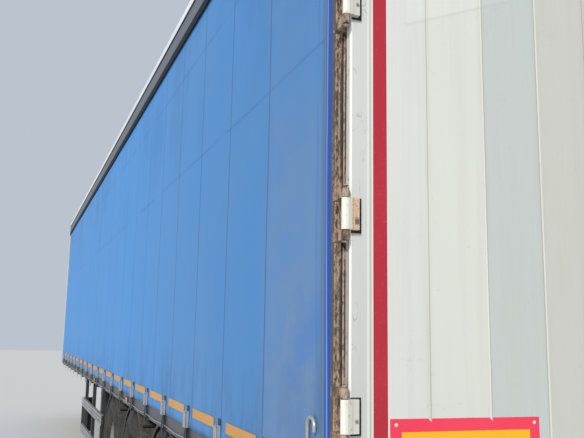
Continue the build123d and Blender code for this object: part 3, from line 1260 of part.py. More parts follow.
# Landing legs: outer tube on the beam, inner leg, foot, and a brace back to the beam
LEG_X = KINGPIN_X - LEG_BEHIND_PIN
LEG_Y = BEAM_Y + BEAM_FLANGE_WIDTH / 2 + LEG_PAD + LEG_TUBE / 2
LEG_TOP = CROSS_BOTTOM - LEG_PAD
with BuildPart() as landing_legs:
    with BuildSketch(Plane.XY.offset(LEG_TUBE_BOTTOM)):
        with Locations((LEG_X, LEG_Y)):
            Rectangle(LEG_TUBE, LEG_TUBE)
            Rectangle(LEG_INNER, LEG_INNER, mode=Mode.SUBTRACT)
    extrude(amount=LEG_TOP - LEG_TUBE_BOTTOM)
    with BuildSketch(Plane.XY.offset(LEG_FOOT_THICK + LEG_FOOT_TURN)):
        with Locations((LEG_X, LEG_Y)):
            Rectangle(LEG_INNER, LEG_INNER)
    extrude(amount=LEG_TUBE_BOTTOM + LEG_INNER - LEG_FOOT_THICK - LEG_FOOT_TURN)
    with BuildSketch(Plane.YZ.offset(LEG_X - LEG_INNER / 2)):
        with BuildLine():
            Polyline(
                (LEG_Y - LEG_FOOT_WIDTH / 3, LEG_FOOT_THICK),
                (LEG_Y + LEG_FOOT_WIDTH / 3, LEG_FOOT_THICK),
                (LEG_Y + LEG_INNER / 2, LEG_FOOT_THICK + LEG_FOOT_TURN),
                (LEG_Y - LEG_INNER / 2, LEG_FOOT_THICK + LEG_FOOT_TURN),
                close=True,
            )
        make_face()
    extrude(amount=LEG_INNER)
    with BuildSketch(Plane.XY):
        with Locations((LEG_X, LEG_Y)):
            Rectangle(LEG_FOOT_LENGTH, LEG_FOOT_WIDTH)
    extrude(amount=LEG_FOOT_THICK)
    with BuildSketch(Plane.XY.offset(LEG_TOP)):
        with Locations((LEG_X, BEAM_Y + BEAM_WEB / 2)):
            Rectangle(
                LEG_TUBE, LEG_Y + LEG_TUBE / 2 - BEAM_Y - BEAM_WEB / 2, align=(Align.CENTER, Align.MIN)
            )
    extrude(amount=-LEG_PAD)
    with BuildSketch(Plane.XY.offset(MAIN_BOTTOM + BEAM_FLANGE_THICK + LEG_PAD)):
        with Locations((LEG_X, BEAM_Y + BEAM_WEB / 2)):
            Rectangle(
                LEG_TUBE, LEG_Y - LEG_TUBE / 2 - BEAM_Y - BEAM_WEB / 2, align=(Align.CENTER, Align.MIN)
            )
    extrude(amount=LEG_PAD)
    brace_foot = Vector(
        LEG_X - LEG_TUBE / 2 + LEG_WALL, LEG_Y - LEG_TUBE / 2 + LEG_BRACE_R, LEG_BRACE_LOW
    )
    brace_head = Vector(
        LEG_X - LEG_BRACE_RUN, FLANGE_EDGE_Y - LEG_BRACE_R, MAIN_BOTTOM + LEG_BRACE_R
    )
    with BuildSketch(Plane(origin=brace_foot, z_dir=brace_head - brace_foot)):
        Circle(LEG_BRACE_R)
    extrude(amount=(brace_head - brace_foot).length)
    with BuildSketch(Plane.XY.offset(MAIN_BOTTOM)):
        with Locations((LEG_X - LEG_BRACE_RUN, BEAM_Y)):
            Rectangle(LEG_BRACE_RUN, 2 * BEAM_FLANGE_WIDTH)
    extrude(amount=3 * LEG_BRACE_R, mode=Mode.SUBTRACT)
    mirror(about=Plane.XZ)
finish(landing_legs.part, "landing_legs")

# Landing gear cross shaft and the crank on the right side
SHAFT_Z = LEG_TOP - LEG_PAD - LEG_SHAFT_DROP
CRANK_Y = LEG_Y + LEG_TUBE / 2
with BuildPart() as landing_crank:
    with BuildSketch(side_plane(BEAM_Y - BEAM_WEB / 2)):
        with Locations((LEG_X, SHAFT_Z)):
            Circle(LEG_SHAFT_R)
    extrude(amount=2 * BEAM_Y - BEAM_WEB)
    with BuildSketch(side_plane(-CRANK_Y)):
        with Locations((LEG_X, SHAFT_Z)):
            Rectangle(LEG_TUBE, LEG_TUBE)
    extrude(amount=LEG_CASE_OUT)
    with BuildLine():
        crank_start = -CRANK_Y - LEG_CASE_OUT
        FilletPolyline(
            (LEG_X, crank_start, SHAFT_Z),
            (LEG_X, crank_start - CRANK_REACH, SHAFT_Z),
            (LEG_X, crank_start - CRANK_REACH, SHAFT_Z - CRANK_DROP),
            (LEG_X, crank_start - CRANK_REACH - CRANK_GRIP, SHAFT_Z - CRANK_DROP),
            radius=CRANK_BEND_R,
        )
    with BuildSketch(side_plane(crank_start)):
        with Locations((LEG_X, SHAFT_Z)):
            Circle(CRANK_ROD_R)
    sweep()
finish(landing_crank.part, "landing_crank")

# Air tanks hung under two crossmembers, their ends coned
TANK_AHEAD = nearest_cross(GUARD_RAIL_REAR + TANK_LENGTH)
TANK_Z = CROSS_BOTTOM - TANK_DROP - TANK_R
with BuildPart() as air_tanks:
    with BuildSketch(Plane.YZ.offset(station(TANK_AHEAD))):
        with Locations((TANK_Y, TANK_Z)):
            Circle(TANK_R)
    extrude(amount=TANK_LENGTH)
    chamfer(air_tanks.edges().filter_by(GeomType.CIRCLE), TANK_DISH, TANK_END_CUT)
    with BuildSketch(side_plane(TANK_Y + TANK_STRAP)):
        with Locations(
            (station(TANK_AHEAD), CROSS_BOTTOM),
            (station(CROSS_STATIONS[CROSS_STATIONS.index(TANK_AHEAD) + 1]), CROSS_BOTTOM),
        ):
            Rectangle(TANK_STRAP, TANK_DROP + TANK_R, align=(Align.MIN, Align.MAX))
    extrude(amount=2 * TANK_STRAP)
    mirror(about=Plane.XZ)
finish(air_tanks.part, "air_tanks")

# Side marker lamps on the raves
MARKERS = [ahead + STRAP_PITCH / 2 for ahead in STRAP_STATIONS[MARKER_SKIP_COUNT:-1:MARKER_STRAP_COUNT]]
with BuildPart() as side_markers:
    with BuildSketch(side_plane(RAVE_Y)):
        with Locations(*[(station(ahead), (RAVE_BOTTOM + CURTAIN_BOTTOM) / 2) for ahead in MARKERS]):
            Rectangle(MARKER_LENGTH, MARKER_HEIGHT)
    extrude(amount=-MARKER_OUT)
    mirror(about=Plane.XZ)
finish(side_markers.part, "side_markers")
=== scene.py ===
"""Curtain-sided semi trailer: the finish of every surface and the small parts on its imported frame.

Metres. +X points to the front, +Y to the left side, +Z up. "Ahead" is a distance ahead of the closed
doors' outer face, and "inboard" a distance in from a door's hinged edge.
"""

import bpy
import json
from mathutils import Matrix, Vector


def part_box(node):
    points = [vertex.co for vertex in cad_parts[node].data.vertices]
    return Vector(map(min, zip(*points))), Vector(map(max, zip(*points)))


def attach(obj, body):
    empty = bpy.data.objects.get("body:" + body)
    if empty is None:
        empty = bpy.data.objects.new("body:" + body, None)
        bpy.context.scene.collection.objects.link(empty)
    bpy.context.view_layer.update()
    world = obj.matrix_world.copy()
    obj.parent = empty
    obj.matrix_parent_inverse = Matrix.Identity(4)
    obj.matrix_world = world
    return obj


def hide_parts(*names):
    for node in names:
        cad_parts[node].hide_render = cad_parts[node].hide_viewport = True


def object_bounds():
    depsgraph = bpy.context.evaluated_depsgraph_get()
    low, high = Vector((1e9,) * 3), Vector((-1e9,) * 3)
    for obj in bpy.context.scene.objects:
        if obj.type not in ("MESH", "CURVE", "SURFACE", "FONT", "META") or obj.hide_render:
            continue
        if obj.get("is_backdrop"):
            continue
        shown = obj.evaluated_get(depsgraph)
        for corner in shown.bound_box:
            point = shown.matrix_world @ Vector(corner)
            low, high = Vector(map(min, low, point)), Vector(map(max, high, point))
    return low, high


bl_info = {
    "name": "Curtain-sided semi trailer",
    "version": (1, 0, 0),
    "blender": (4, 5, 0),
    "location": "3D View > Sidebar > Trailer",
    "description": "Dresses a packed semi trailer with cloth sides, worn doors, tyres and fittings",
    "category": "Object",
}

import json
import math

import bmesh
import bpy
from bpy.props import FloatProperty, FloatVectorProperty, IntProperty, PointerProperty
from mathutils import Matrix, Vector, noise

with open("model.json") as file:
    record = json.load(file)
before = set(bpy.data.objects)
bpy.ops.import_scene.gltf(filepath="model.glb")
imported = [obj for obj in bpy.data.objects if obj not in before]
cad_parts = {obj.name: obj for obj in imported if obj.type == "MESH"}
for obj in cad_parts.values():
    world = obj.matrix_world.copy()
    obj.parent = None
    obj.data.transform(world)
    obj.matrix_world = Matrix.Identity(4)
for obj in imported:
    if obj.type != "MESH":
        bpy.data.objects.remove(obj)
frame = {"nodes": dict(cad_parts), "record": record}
CAD_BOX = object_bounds()
NODES = frame["nodes"]
SIDES = (("left", 1), ("right", -1))
WHEELS = [(f"{axle}_{side}", sign) for axle in ("front", "middle", "rear") for side, sign in SIDES]
WELD = 1e-5


def solid_boxes(name):
    """Lowest and highest corners of a node's separate solids, sorted by Y, then X, then Z."""
    shape = bmesh.new()
    shape.from_mesh(NODES[name].data)
    bmesh.ops.remove_doubles(shape, verts=shape.verts, dist=WELD)
    waiting = set(shape.verts)
    boxes = []
    while waiting:
        front = [waiting.pop()]
        places = []
        while front:
            vertex = front.pop()
            places.append(vertex.co.copy())
            for edge in vertex.link_edges:
                other = edge.other_vert(vertex)
                if other in waiting:
                    waiting.discard(other)
                    front.append(other)
        low = Vector([min(place[axis] for place in places) for axis in range(3)])
        high = Vector([max(place[axis] for place in places) for axis in range(3)])
        boxes.append((low, high))
    shape.free()
    return sorted(boxes, key=lambda box: (round(box[0].y, 3), round(box[0].x, 3), round(box[0].z, 3)))


def left_boxes(name):
    """The solid boxes of a node that lie on the left side."""
    return [(low, high) for low, high in solid_boxes(name) if low.y > 0]


# Places that the frame gives
PANEL_LOW, PANEL_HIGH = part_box("door_left_panel")
DOOR_FACE, DOOR_MEET, DOOR_BOTTOM = PANEL_LOW
DOOR_EDGE = PANEL_HIGH.y
DOOR_TOP = PANEL_HIGH.z
CURTAIN_LOW, CURTAIN_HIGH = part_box("curtain_left")
RAIL_LOW, RAIL_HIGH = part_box("cant_rail_left")
RAVE_LOW, RAVE_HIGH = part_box("side_rave_left")
DECK_LOW, DECK_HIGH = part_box("floor_deck")
POST_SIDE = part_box("rear_frame")[1].y
WALL_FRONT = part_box("front_wall")[1].x
STRAPS = left_boxes("curtain_straps")
STRAP_STATIONS = [(low.x + high.x) / 2 for low, high in STRAPS]
STRAP_PITCH = STRAP_STATIONS[1] - STRAP_STATIONS[0]
BUCKLES = left_boxes("curtain_buckles")
HINGES = solid_boxes("door_left_hinges")
LUGS = left_boxes("hinge_lugs")

# Where the cloth is welded round its poles and where it was folded
SLEEVE_START = 0.183
SLEEVE_END = 0.229
CREASES = (3.46, 2.777)

# The doors' planks: their joints inboard, and shares of the colour on four of them
PLANK_JOINTS = (0.071, 0.286, 0.517, 0.748, 0.979)
PLANK_TONES = ((0.755, 0.795, 0.825), (1.0, 0.985, 0.94), (0.855, 0.885, 0.92), (0.81, 0.795, 0.775))
CORNER_ROUND = 0.006
ROOF_BOW_PITCH = 0.64


# Sizes and colours that a user would change


def length(name, description, default):
    """A setting in metres."""
    return FloatProperty(name=name, description=description, default=default, unit="LENGTH")


def tint(name, description, default):
    """A setting that is a colour."""
    return FloatVectorProperty(name=name, description=description, subtype="COLOR", size=3, default=default)


class CurtainSettings(bpy.types.PropertyGroup):
    """Cloth sides."""

    colour: tint("Cloth colour", "Coated cloth in good light", (0.05, 0.235, 0.56))
    edge_colour: tint("Sleeve colour", "Newer, deeper blue of the rear pole's sleeve", (0.010, 0.068, 0.37))
    seam_pitch: length("Seam pitch", "Width of one cloth panel", 0.612)
    first_seam: length("First seam", "How far ahead of the doors it lies", 0.846)
    thickness: length("Cloth thickness", "Thickness of the cloth", 0.0011)
    slack: length("Slack", "Depth of the cloth's folds", 0.0042)
    tape_length: length("Hem tape length", "Reflective tape between straps", 0.45)
    tape_height: length("Hem tape height", "Width of that tape", 0.05)


class DoorSettings(bpy.types.PropertyGroup):
    """Rear doors."""

    colour: tint("Door colour", "Aged white lacquer", (0.70, 0.71, 0.655))
    tape_colour: tint("Tape colour", "Red reflective tape", (0.425, 0.014, 0.028))
    tape_width: length("Tape width", "Width of the outline tape", 0.05)
    tape_inboard: length("Tape inboard", "From the hinged edge to the tape", 0.082)
    plate_width: length("Marking width", "Width of a rear marking", 0.565)
    plate_height: length("Marking height", "Height of a rear marking", 0.2)
    plate_border: length("Marking border", "Width of its red border", 0.04)
    plate_top: length("Marking top", "Height of its top edge", 1.46)
    plate_inboard: length("Marking inboard", "From the hinged edge to it", 0.139)


class WheelSettings(bpy.types.PropertyGroup):
    """Wheels and tyres."""

    groove_depth: length("Groove depth", "Depth of the tread's grooves", 0.012)
    groove_width: length("Groove width", "Width of the tread's grooves", 0.011)
    steps: IntProperty(name="Steps round", description="Sections round a tyre", default=120, min=24)
    nuts: IntProperty(name="Wheel nuts", description="Nuts on each wheel", default=10, min=3)
    nut_circle: length("Nut circle", "Radius through the nuts", 0.162)


class StageSettings(bpy.types.PropertyGroup):
    """Floor, light and camera."""

    floor_colour: tint("Floor colour", "Pale floor", (0.66, 0.65, 0.62))
    key_strength: FloatProperty(name="Key light", description="Sun strength", default=2.6)
    key_angle: FloatProperty(
        name="Key softness", description="Spread of the key light", subtype="ANGLE", default=0.14
    )
    sky_strength: FloatProperty(name="Sky light", description="Light from all round", default=0.62)
    lens: FloatProperty(name="Lens", description="Focal length in millimetres", default=43.544)


SETTINGS = {
    "trailer_curtains": CurtainSettings,
    "trailer_doors": DoorSettings,
    "trailer_wheels": WheelSettings,
    "trailer_stage": StageSettings,
}


# Materials


def joins(operation, flipped=False):
    """An operator that joins two values by a Math node; flipped is its reflected form."""

    def operator(self, other):
        first, second = (other, self) if flipped else (self, other)
        return self.paint.sum(operation, first, second)

    return operator


class Wire:
    """A material's socket that takes part in sums: each operator adds its Math node."""

    def __init__(self, paint, socket):
        self.paint = paint
        self.socket = socket

    __add__ = joins("ADD")
    __radd__ = joins("ADD", flipped=True)
    __sub__ = joins("SUBTRACT")
    __rsub__ = joins("SUBTRACT", flipped=True)
    __mul__ = joins("MULTIPLY")
    __rmul__ = joins("MULTIPLY", flipped=True)
    __truediv__ = joins("DIVIDE")
    __rtruediv__ = joins("DIVIDE", flipped=True)
    larger = joins("MAXIMUM")
    smaller = joins("MINIMUM")

    def __abs__(self):
        return self.paint.node("ShaderNodeMath", {"operation": "ABSOLUTE"}, {0: self})

    def to_nearest(self, pitch):
        """Distance to the nearest whole multiple of a pitch."""
        return self.paint.sum("PINGPONG", self, pitch / 2)

    def ribs(self, pitch):
        """0 at each whole multiple of a pitch, 1 halfway between."""
        return self.to_nearest(pitch) / (pitch / 2)

    def rises(self, low, high):
        """0 below low, 1 above high, smooth between."""
        return self.paint.node(
            "ShaderNodeMapRange",
            {"interpolation_type": "SMOOTHSTEP"},
            {"Value": self, "From Min": low, "From Max": high},
        )

    def falls(self, low, high):
        """1 below low, 0 above high, smooth between."""
        return 1 - self.rises(low, high)

    def within(self, low, high, soft):
        """1 from low to high with soft edges."""
        return self.rises(low - soft, low + soft) * self.falls(high - soft, high + soft)


class Paint:
    """Builds one material: node() adds any node, and the rest are patterns that come often."""

    def __init__(self, name):
        self.material = bpy.data.materials.new(name)
        self.material.use_nodes = True
        self.tree = self.material.node_tree
        self.tree.nodes.clear()
        self.place = self.node("ShaderNodeTexCoord", output="Object")
        split = self.node("ShaderNodeSeparateXYZ", values={0: self.place}).socket.node
        self.x, self.y, self.z = (Wire(self, socket) for socket in split.outputs)

    def node(self, kind, settings=None, values=None, output=0):
        """Adds a node: its settings first, then its sockets' values or links; returns one output."""
        made = self.tree.nodes.new(kind)
        for name, value in (settings or {}).items():
            setattr(made, name, value)
        for key, value in (values or {}).items():
            if isinstance(value, Wire):
                self.tree.links.new(value.socket, made.inputs[key])
            else:
                made.inputs[key].default_value = value
        return Wire(self, made.outputs[output])

    def sum(self, operation, first, second):
        """A Math node, or a Vector Math node where a vector takes part."""
        wires = [part for part in (first, second) if isinstance(part, Wire)]
        vector = any(wire.socket.type == "VECTOR" for wire in wires)
        kind = "ShaderNodeVectorMath" if vector else "ShaderNodeMath"
        return self.node(kind, {"operation": operation}, {0: first, 1: second})

    def mix(self, factor, first, second):
        """Colour that goes from first to second as factor goes from 0 to 1."""
        colours = {6: self.colour(first), 7: self.colour(second)}
        return self.node("ShaderNodeMix", {"data_type": "RGBA"}, {0: factor, **colours}, output=2)

    def coats(self, shade, *layers):
        """Colour under layers of (mask, colour), each laid over the ones before it."""
        for mask, colour in layers:
            shade = self.mix(mask, shade, colour)
        return shade

    @staticmethod
    def colour(value):
        return value if isinstance(value, Wire) else (*tuple(value)[:3], 1.0)

    def mapped(self, along=1.0, across=1.0, up=1.0, offset=0.0):
        """Where a pattern is read; a share under 1 draws it out that way."""
        scale = (along, across, up)
        values = {"Vector": self.place, "Location": (offset, offset, offset), "Scale": scale}
        return self.node("ShaderNodeMapping", values=values)

    def noise(self, scale, detail, rough, distortion=0.0, **mapping):
        """Cloudy value from 0 to 1."""
        values = {"Scale": scale, "Detail": detail, "Roughness": rough, "Distortion": distortion}
        return self.node("ShaderNodeTexNoise", values={"Vector": self.mapped(**mapping), **values})

    def cells(self, scale, **mapping):
        """Distance to the nearest cell's middle."""
        return self.node("ShaderNodeTexVoronoi", values={"Vector": self.mapped(**mapping), "Scale": scale})

    def finish(self, colour, rough=0.5, metal=0.0, height=None, depth=0.001, strength=1.0, **more):
        """Ends the material in its surface; height is a wire in shares of depth."""
        values = {"Base Color": self.colour(colour), "Roughness": rough, "Metallic": metal}
        if height is not None:
            bump = {"Height": height, "Distance": depth, "Strength": strength}
            values["Normal"] = self.node("ShaderNodeBump", values=bump)
        values.update({name.replace("_", " "): value for name, value in more.items()})
        shader = self.node("ShaderNodeBsdfPrincipled", values=values)
        end = self.tree.nodes.new("ShaderNodeOutputMaterial")
        self.tree.links.new(shader.socket, end.inputs["Surface"])
        return self.material


DUST = (0.33, 0.28, 0.21)
RUST_DARK = (0.06, 0.034, 0.022)
RUST_MID = (0.23, 0.145, 0.095)
RUST_PALE = (0.48, 0.37, 0.27)
HINGE_RUST_TONE = 0.92
WHITE = (0.74, 0.745, 0.70)


def toned(colour, share):
    """A colour at a share of its strength."""
    return [part * share for part in colour]


def worn_paint(name, colour, rough=0.45, dust=0.35, rust=0.0, metal=0.0):
    """Painted metal with uneven tone, settled dust, and rust in spots where asked."""
    paint = Paint(name)
    cloud = paint.noise(1.7, 4.0, 0.6)
    fine = paint.noise(60.0, 3.0, 0.6)
    normal = paint.node("ShaderNodeNewGeometry", output="Normal")
    up = paint.node("ShaderNodeSeparateXYZ", values={0: normal}, output=2)
    settled = (up.rises(0.2, 0.95) * 0.6 + cloud.rises(0.45, 0.8) * 0.4) * fine.rises(0.25, 0.7)
    run = paint.noise(11.0, 5.0, 0.65, up=0.12, offset=33.0)
    spots = paint.noise(14.0, 6.0, 0.7, offset=3.0)
    bitten = spots.rises(0.66 - 0.12 * rust, 0.74 - 0.08 * rust)
    shade = paint.coats(
        colour,
        (cloud.rises(0.3, 0.75) * 0.45, toned(colour, 0.72)),
        (settled * dust, DUST),
        (run.rises(0.46, 0.74) * dust * 0.5, toned(DUST, 0.55)),
        (bitten * rust, paint.mix(fine, RUST_DARK, RUST_MID)),
    )
    return paint.finish(
        shade,
        rough=rough + settled * 0.3 + bitten * 0.2 * rust,
        metal=metal,
        height=fine * 0.15 + bitten * rust,
        depth=0.0012,
        strength=0.4,
    )


def cloth_paint(settings):
    """Coated cloth: welded panels, painted shade along folds, faded streaks, scuffs low at the rear, dirt
    along the hem.
    """
    paint = Paint("Curtain cloth")
    from_doors = paint.x - DOOR_FACE
    cloud = paint.noise(0.55, 3.0, 0.5)
    streak = paint.noise(7.0, 4.0, 0.6, up=0.06)
    smear = paint.noise(2.6, 5.0, 0.65, along=0.8, up=1.4, offset=9.0)
    colour = tuple(settings.colour)
    faded = (0.115, 0.27, 0.51)
    deep = (0.02, 0.185, 0.58)
    forward = from_doors.rises(0.4, 5.5)
    rippled = paint.noise(2.4, 5.0, 0.6, up=0.45, offset=57.0)
    low = paint.z.falls(1.5, 2.5) * from_doors.falls(0.2, 1.1)
    tired = from_doors.within(0.26, 0.85, 0.12) * paint.z.falls(1.8, 3.6)
    brushed = paint.noise(10.0, 5.0, 0.65, up=0.30, offset=48.0)
    drip = paint.noise(9.0, 4.0, 0.6, along=2.5, up=0.09, offset=27.0)
    streaked = from_doors.within(0.25, 0.33, 0.025) * drip.rises(0.45, 0.7)
    to_seam = (from_doors - settings.first_seam).to_nearest(settings.seam_pitch)
    beyond = from_doors.rises(0.5, 0.55)
    line = to_seam.falls(0.002, 0.0075) * beyond
    overlap = to_seam.falls(0.011, 0.014) * beyond
    patchy = paint.noise(1.9, 4.0, 0.6, up=0.4, offset=36.0)
    # fold: painted shade along the crease lines; the same mask also raises them in the bump
    fold = 0.0
    for level in CREASES:
        off = abs(paint.z - level + smear * 0.02)
        fold = off.falls(0.003, 0.012) * patchy.rises(0.34, 0.56) + fold
    splash = paint.noise(5.0, 6.0, 0.7, up=0.35, offset=21.0)
    dirty = paint.z.falls(1.19, 1.75) * splash.rises(0.35, 0.75)
    leant = from_doors + paint.z.falls(1.25, 2.3) * 0.018
    sleeve = leant.falls(SLEEVE_END, SLEEVE_END + 0.004)
    # Painted shade on the strip of cloth behind the sleeve, where it turns in to the pole
    pole_shade = leant.falls(SLEEVE_START - 0.006, SLEEVE_START + 0.006)
    # Noise that breaks up the painted highlight on the sleeve
    highlight_break = paint.noise(3.0, 6.0, 0.7, along=3.0, up=0.5, offset=4.0)
    chips = paint.noise(16.0, 2.0, 0.5, offset=31.0).rises(0.775, 0.79) * low
    weave = paint.cells(900.0)
    shade = paint.coats(
        colour,
        (cloud.rises(0.35, 0.7) * 0.55, faded),
        (streak.rises(0.5, 0.8) * 0.28, faded),
        (forward * 0.75, (0.036, 0.305, 0.76)),
        (paint.z.rises(2.5, 3.3) * rippled.rises(0.46, 0.62) * 0.34, (0.026, 0.165, 0.46)),
        (tired * (0.25 + smear.rises(0.3, 0.6) * 0.35), (0.175, 0.255, 0.40)),
        (low * smear.rises(0.46, 0.66) * 0.6, deep),
        (low * brushed.rises(0.50, 0.72) * 0.35, (0.22, 0.30, 0.42)),
        (from_doors.within(0.232, 0.262, 0.018) * 0.8, (0.10, 0.16, 0.24)),
        (streaked * 0.45, (0.045, 0.13, 0.30)),
        (overlap * 0.22, (0.05, 0.17, 0.40)),
        (line * 0.8, (0.022, 0.09, 0.25)),
        # Painted shade along the creases
        (fold * 0.35, (0.03, 0.12, 0.30)),
        (dirty * 0.5, (0.10, 0.13, 0.16)),
        (sleeve, tuple(settings.edge_colour)),
        # Painted shade behind the sleeve
        (pole_shade * 0.9, (0.075, 0.10, 0.125)),
        # Painted highlight along the sleeve's crown
        (leant.within(0.207, 0.215, 0.003) * (0.6 + highlight_break * 0.4), (0.20, 0.40, 0.88)),
        (chips * 0.7, (0.55, 0.62, 0.68)),
    )
    return paint.finish(
        shade,
        rough=0.40 + cloud * 0.12 + dirty * 0.25 + sleeve * (-0.08),
        height=weave * 0.12 + overlap * 0.5 + smear * 0.8 + fold * 0.6,
        depth=0.0016,
        strength=0.35,
    )


def webbing_paint(name, colour):
    """Woven strap: ribs across its width."""
    paint = Paint(name)
    weft = paint.z.ribs(0.0024)
    warp = paint.x.ribs(0.003)
    grime = paint.noise(9.0, 4.0, 0.6)
    shade = paint.mix(grime.rises(0.35, 0.7) * 0.6, colour, toned(colour, 0.45))
    return paint.finish(shade, rough=0.85, height=weft + warp * 0.4, depth=0.0005, strength=0.6)


def tape_paint(name, colour, pale, cell=0.0028, vertical=True):
    """Reflective tape: fine ribs of tiny prisms under clear film, a little faded and soiled."""
    paint = Paint(name)
    rib = (paint.z if vertical else paint.y).ribs(cell)
    wander = paint.noise(3.0, 4.0, 0.6)
    speck = paint.noise(130.0, 2.0, 0.5)
    shade = paint.coats(
        colour,
        (rib * 0.16 + wander.rises(0.4, 0.8) * 0.3, pale),
        (speck.rises(0.66, 0.72) * 0.25, DUST),
    )
    return paint.finish(shade, rough=0.30 + speck * 0.1, height=rib, depth=0.0003, strength=0.35)


def door_paint(settings):
    """White lacquer on planks: tones by plank, streaks, grime by the joints, scratches at the edge."""
    paint = Paint("Door lacquer")
    inboard = DOOR_EDGE - abs(paint.y)
    colour = tuple(settings.colour)
    cool, warm, edge, far = ([part * share for part, share in zip(colour, tone)] for tone in PLANK_TONES)
    soft = 0.0012
    outer = inboard.falls(PLANK_JOINTS[0] - soft, PLANK_JOINTS[0] + soft)
    brushed = paint.noise(26.0, 5.0, 0.65, up=0.035)
    drawn = paint.noise(90.0, 4.0, 0.7, up=0.05, offset=5.0)
    cloud = paint.noise(2.2, 4.0, 0.55, offset=2.0)
    to_joint = abs(inboard - PLANK_JOINTS[0])
    for joint in PLANK_JOINTS[1:]:
        to_joint = to_joint.smaller(abs(inboard - joint))
    settled = to_joint.falls(0.001, 0.022) * brushed.rises(0.3, 0.65)
    # lit: painted highlights along the edges of two plank joints
    lit = abs(inboard - PLANK_JOINTS[2] + 0.004).falls(0.0015, 0.0032)
    lit = lit.larger(abs(inboard - PLANK_JOINTS[3] - 0.006).falls(0.002, 0.0045))
    ghost_line = paint.z - (paint.y * -0.392 + 3.162)
    ghost = ghost_line.rises(0.0, 0.012) * inboard.within(0.21, 0.64, 0.004)
    wander = paint.noise(11.0, 2.0, 0.5, up=0.55, offset=14.0, distortion=1.4)
    broken = paint.noise(6.0, 3.0, 0.6, offset=40.0)
    scratched = abs(wander - 0.5).falls(0.002, 0.009) * broken.rises(0.44, 0.52) * inboard.falls(0.066, 0.072)
    scuffed = abs(paint.noise(7.0, 2.0, 0.5, offset=52.0, distortion=2.2) - 0.47).falls(0.001, 0.006)
    scuffed = scuffed * broken.rises(0.56, 0.63) * inboard.rises(0.15, 0.2)
    pits = paint.noise(42.0, 3.0, 0.6, offset=8.0).rises(0.735, 0.76)
    depth = paint.x - DOOR_FACE
    side = inboard.falls(0.0006, 0.0014) * depth.rises(CORNER_ROUND - 0.0005, CORNER_ROUND + 0.0005)
    rim_rust = paint.noise(34.0, 5.0, 0.7, up=0.5, offset=11.0).rises(0.55, 0.62)
    worn_side = paint.mix(paint.z.rises(1.95, 2.2), (0.44, 0.385, 0.32), (0.60, 0.57, 0.48))
    rim_shadow = side * depth.falls(0.0095, 0.0115) * paint.z.falls(1.95, 2.15)
    # rounded: painted highlight on the door's rounded corner; the chips of rust on it are real
    rounded = inboard.falls(CORNER_ROUND, CORNER_ROUND + 0.001)
    rounded = rounded * depth.falls(CORNER_ROUND, CORNER_ROUND + 0.001)
    chipped = paint.noise(24.0, 4.0, 0.6, up=0.4, offset=44.0).rises(0.66, 0.70)
    # bright: painted highlight on a profile edge just outboard of the first joint
    bright = inboard.within(0.060, 0.0695, 0.0012)
    shade = paint.coats(
        colour,
        (inboard.within(PLANK_JOINTS[2], PLANK_JOINTS[3], soft), cool),
        (inboard.within(PLANK_JOINTS[1], PLANK_JOINTS[2], soft) * 0.5, warm),
        (inboard.rises(PLANK_JOINTS[3], PLANK_JOINTS[3] + soft), far),
        (outer * (0.8 + paint.z.falls(1.2, 2.4) * 0.2), edge),
        (outer * paint.z.falls(1.2, 2.2) * 0.12, DUST),
        (paint.z.falls(1.3, 2.6) * 0.12, (0.47, 0.48, 0.46)),
        (brushed.rises(0.42, 0.72) * 0.20, (0.50, 0.49, 0.43)),
        (drawn.rises(0.5, 0.8) * 0.14, (0.80, 0.80, 0.76)),
        (cloud.rises(0.35, 0.75) * 0.13, (0.52, 0.56, 0.56)),
        (settled * 0.22, (0.46, 0.42, 0.33)),
        (to_joint.falls(0.0012, 0.0026) * 0.45, (0.33, 0.33, 0.31)),
        # Painted highlights on the joint edges
        (lit * 0.55, (0.86, 0.85, 0.79)),
        (ghost * 0.10, (0.85, 0.85, 0.80)),
        (abs(ghost_line).falls(0.002, 0.007) * inboard.within(0.21, 0.64, 0.01) * 0.3, (0.50, 0.50, 0.45)),
        (scratched * 0.6, (0.30, 0.30, 0.29)),
        (scuffed * 0.30, (0.38, 0.38, 0.36)),
        (pits * 0.35, (0.35, 0.32, 0.27)),
        (side, worn_side),
        (rim_shadow * 0.75, (0.06, 0.05, 0.043)),
        (side * rim_rust * 0.75, RUST_MID),
        # Painted highlight on the rounded corner, then real rust chips
        (rounded * 0.9, (0.86, 0.86, 0.82)),
        (rounded * chipped, RUST_MID),
        # Painted highlight on that profile edge
        (bright * 0.7, (0.78, 0.80, 0.77)),
    )
    return paint.finish(
        shade,
        rough=0.36 + brushed * 0.18 + settled * 0.2,
        height=brushed * 0.35 + drawn * 0.25 - scratched * 0.6 + cloud * 0.8,
        depth=0.0012,
        strength=0.3,
    )


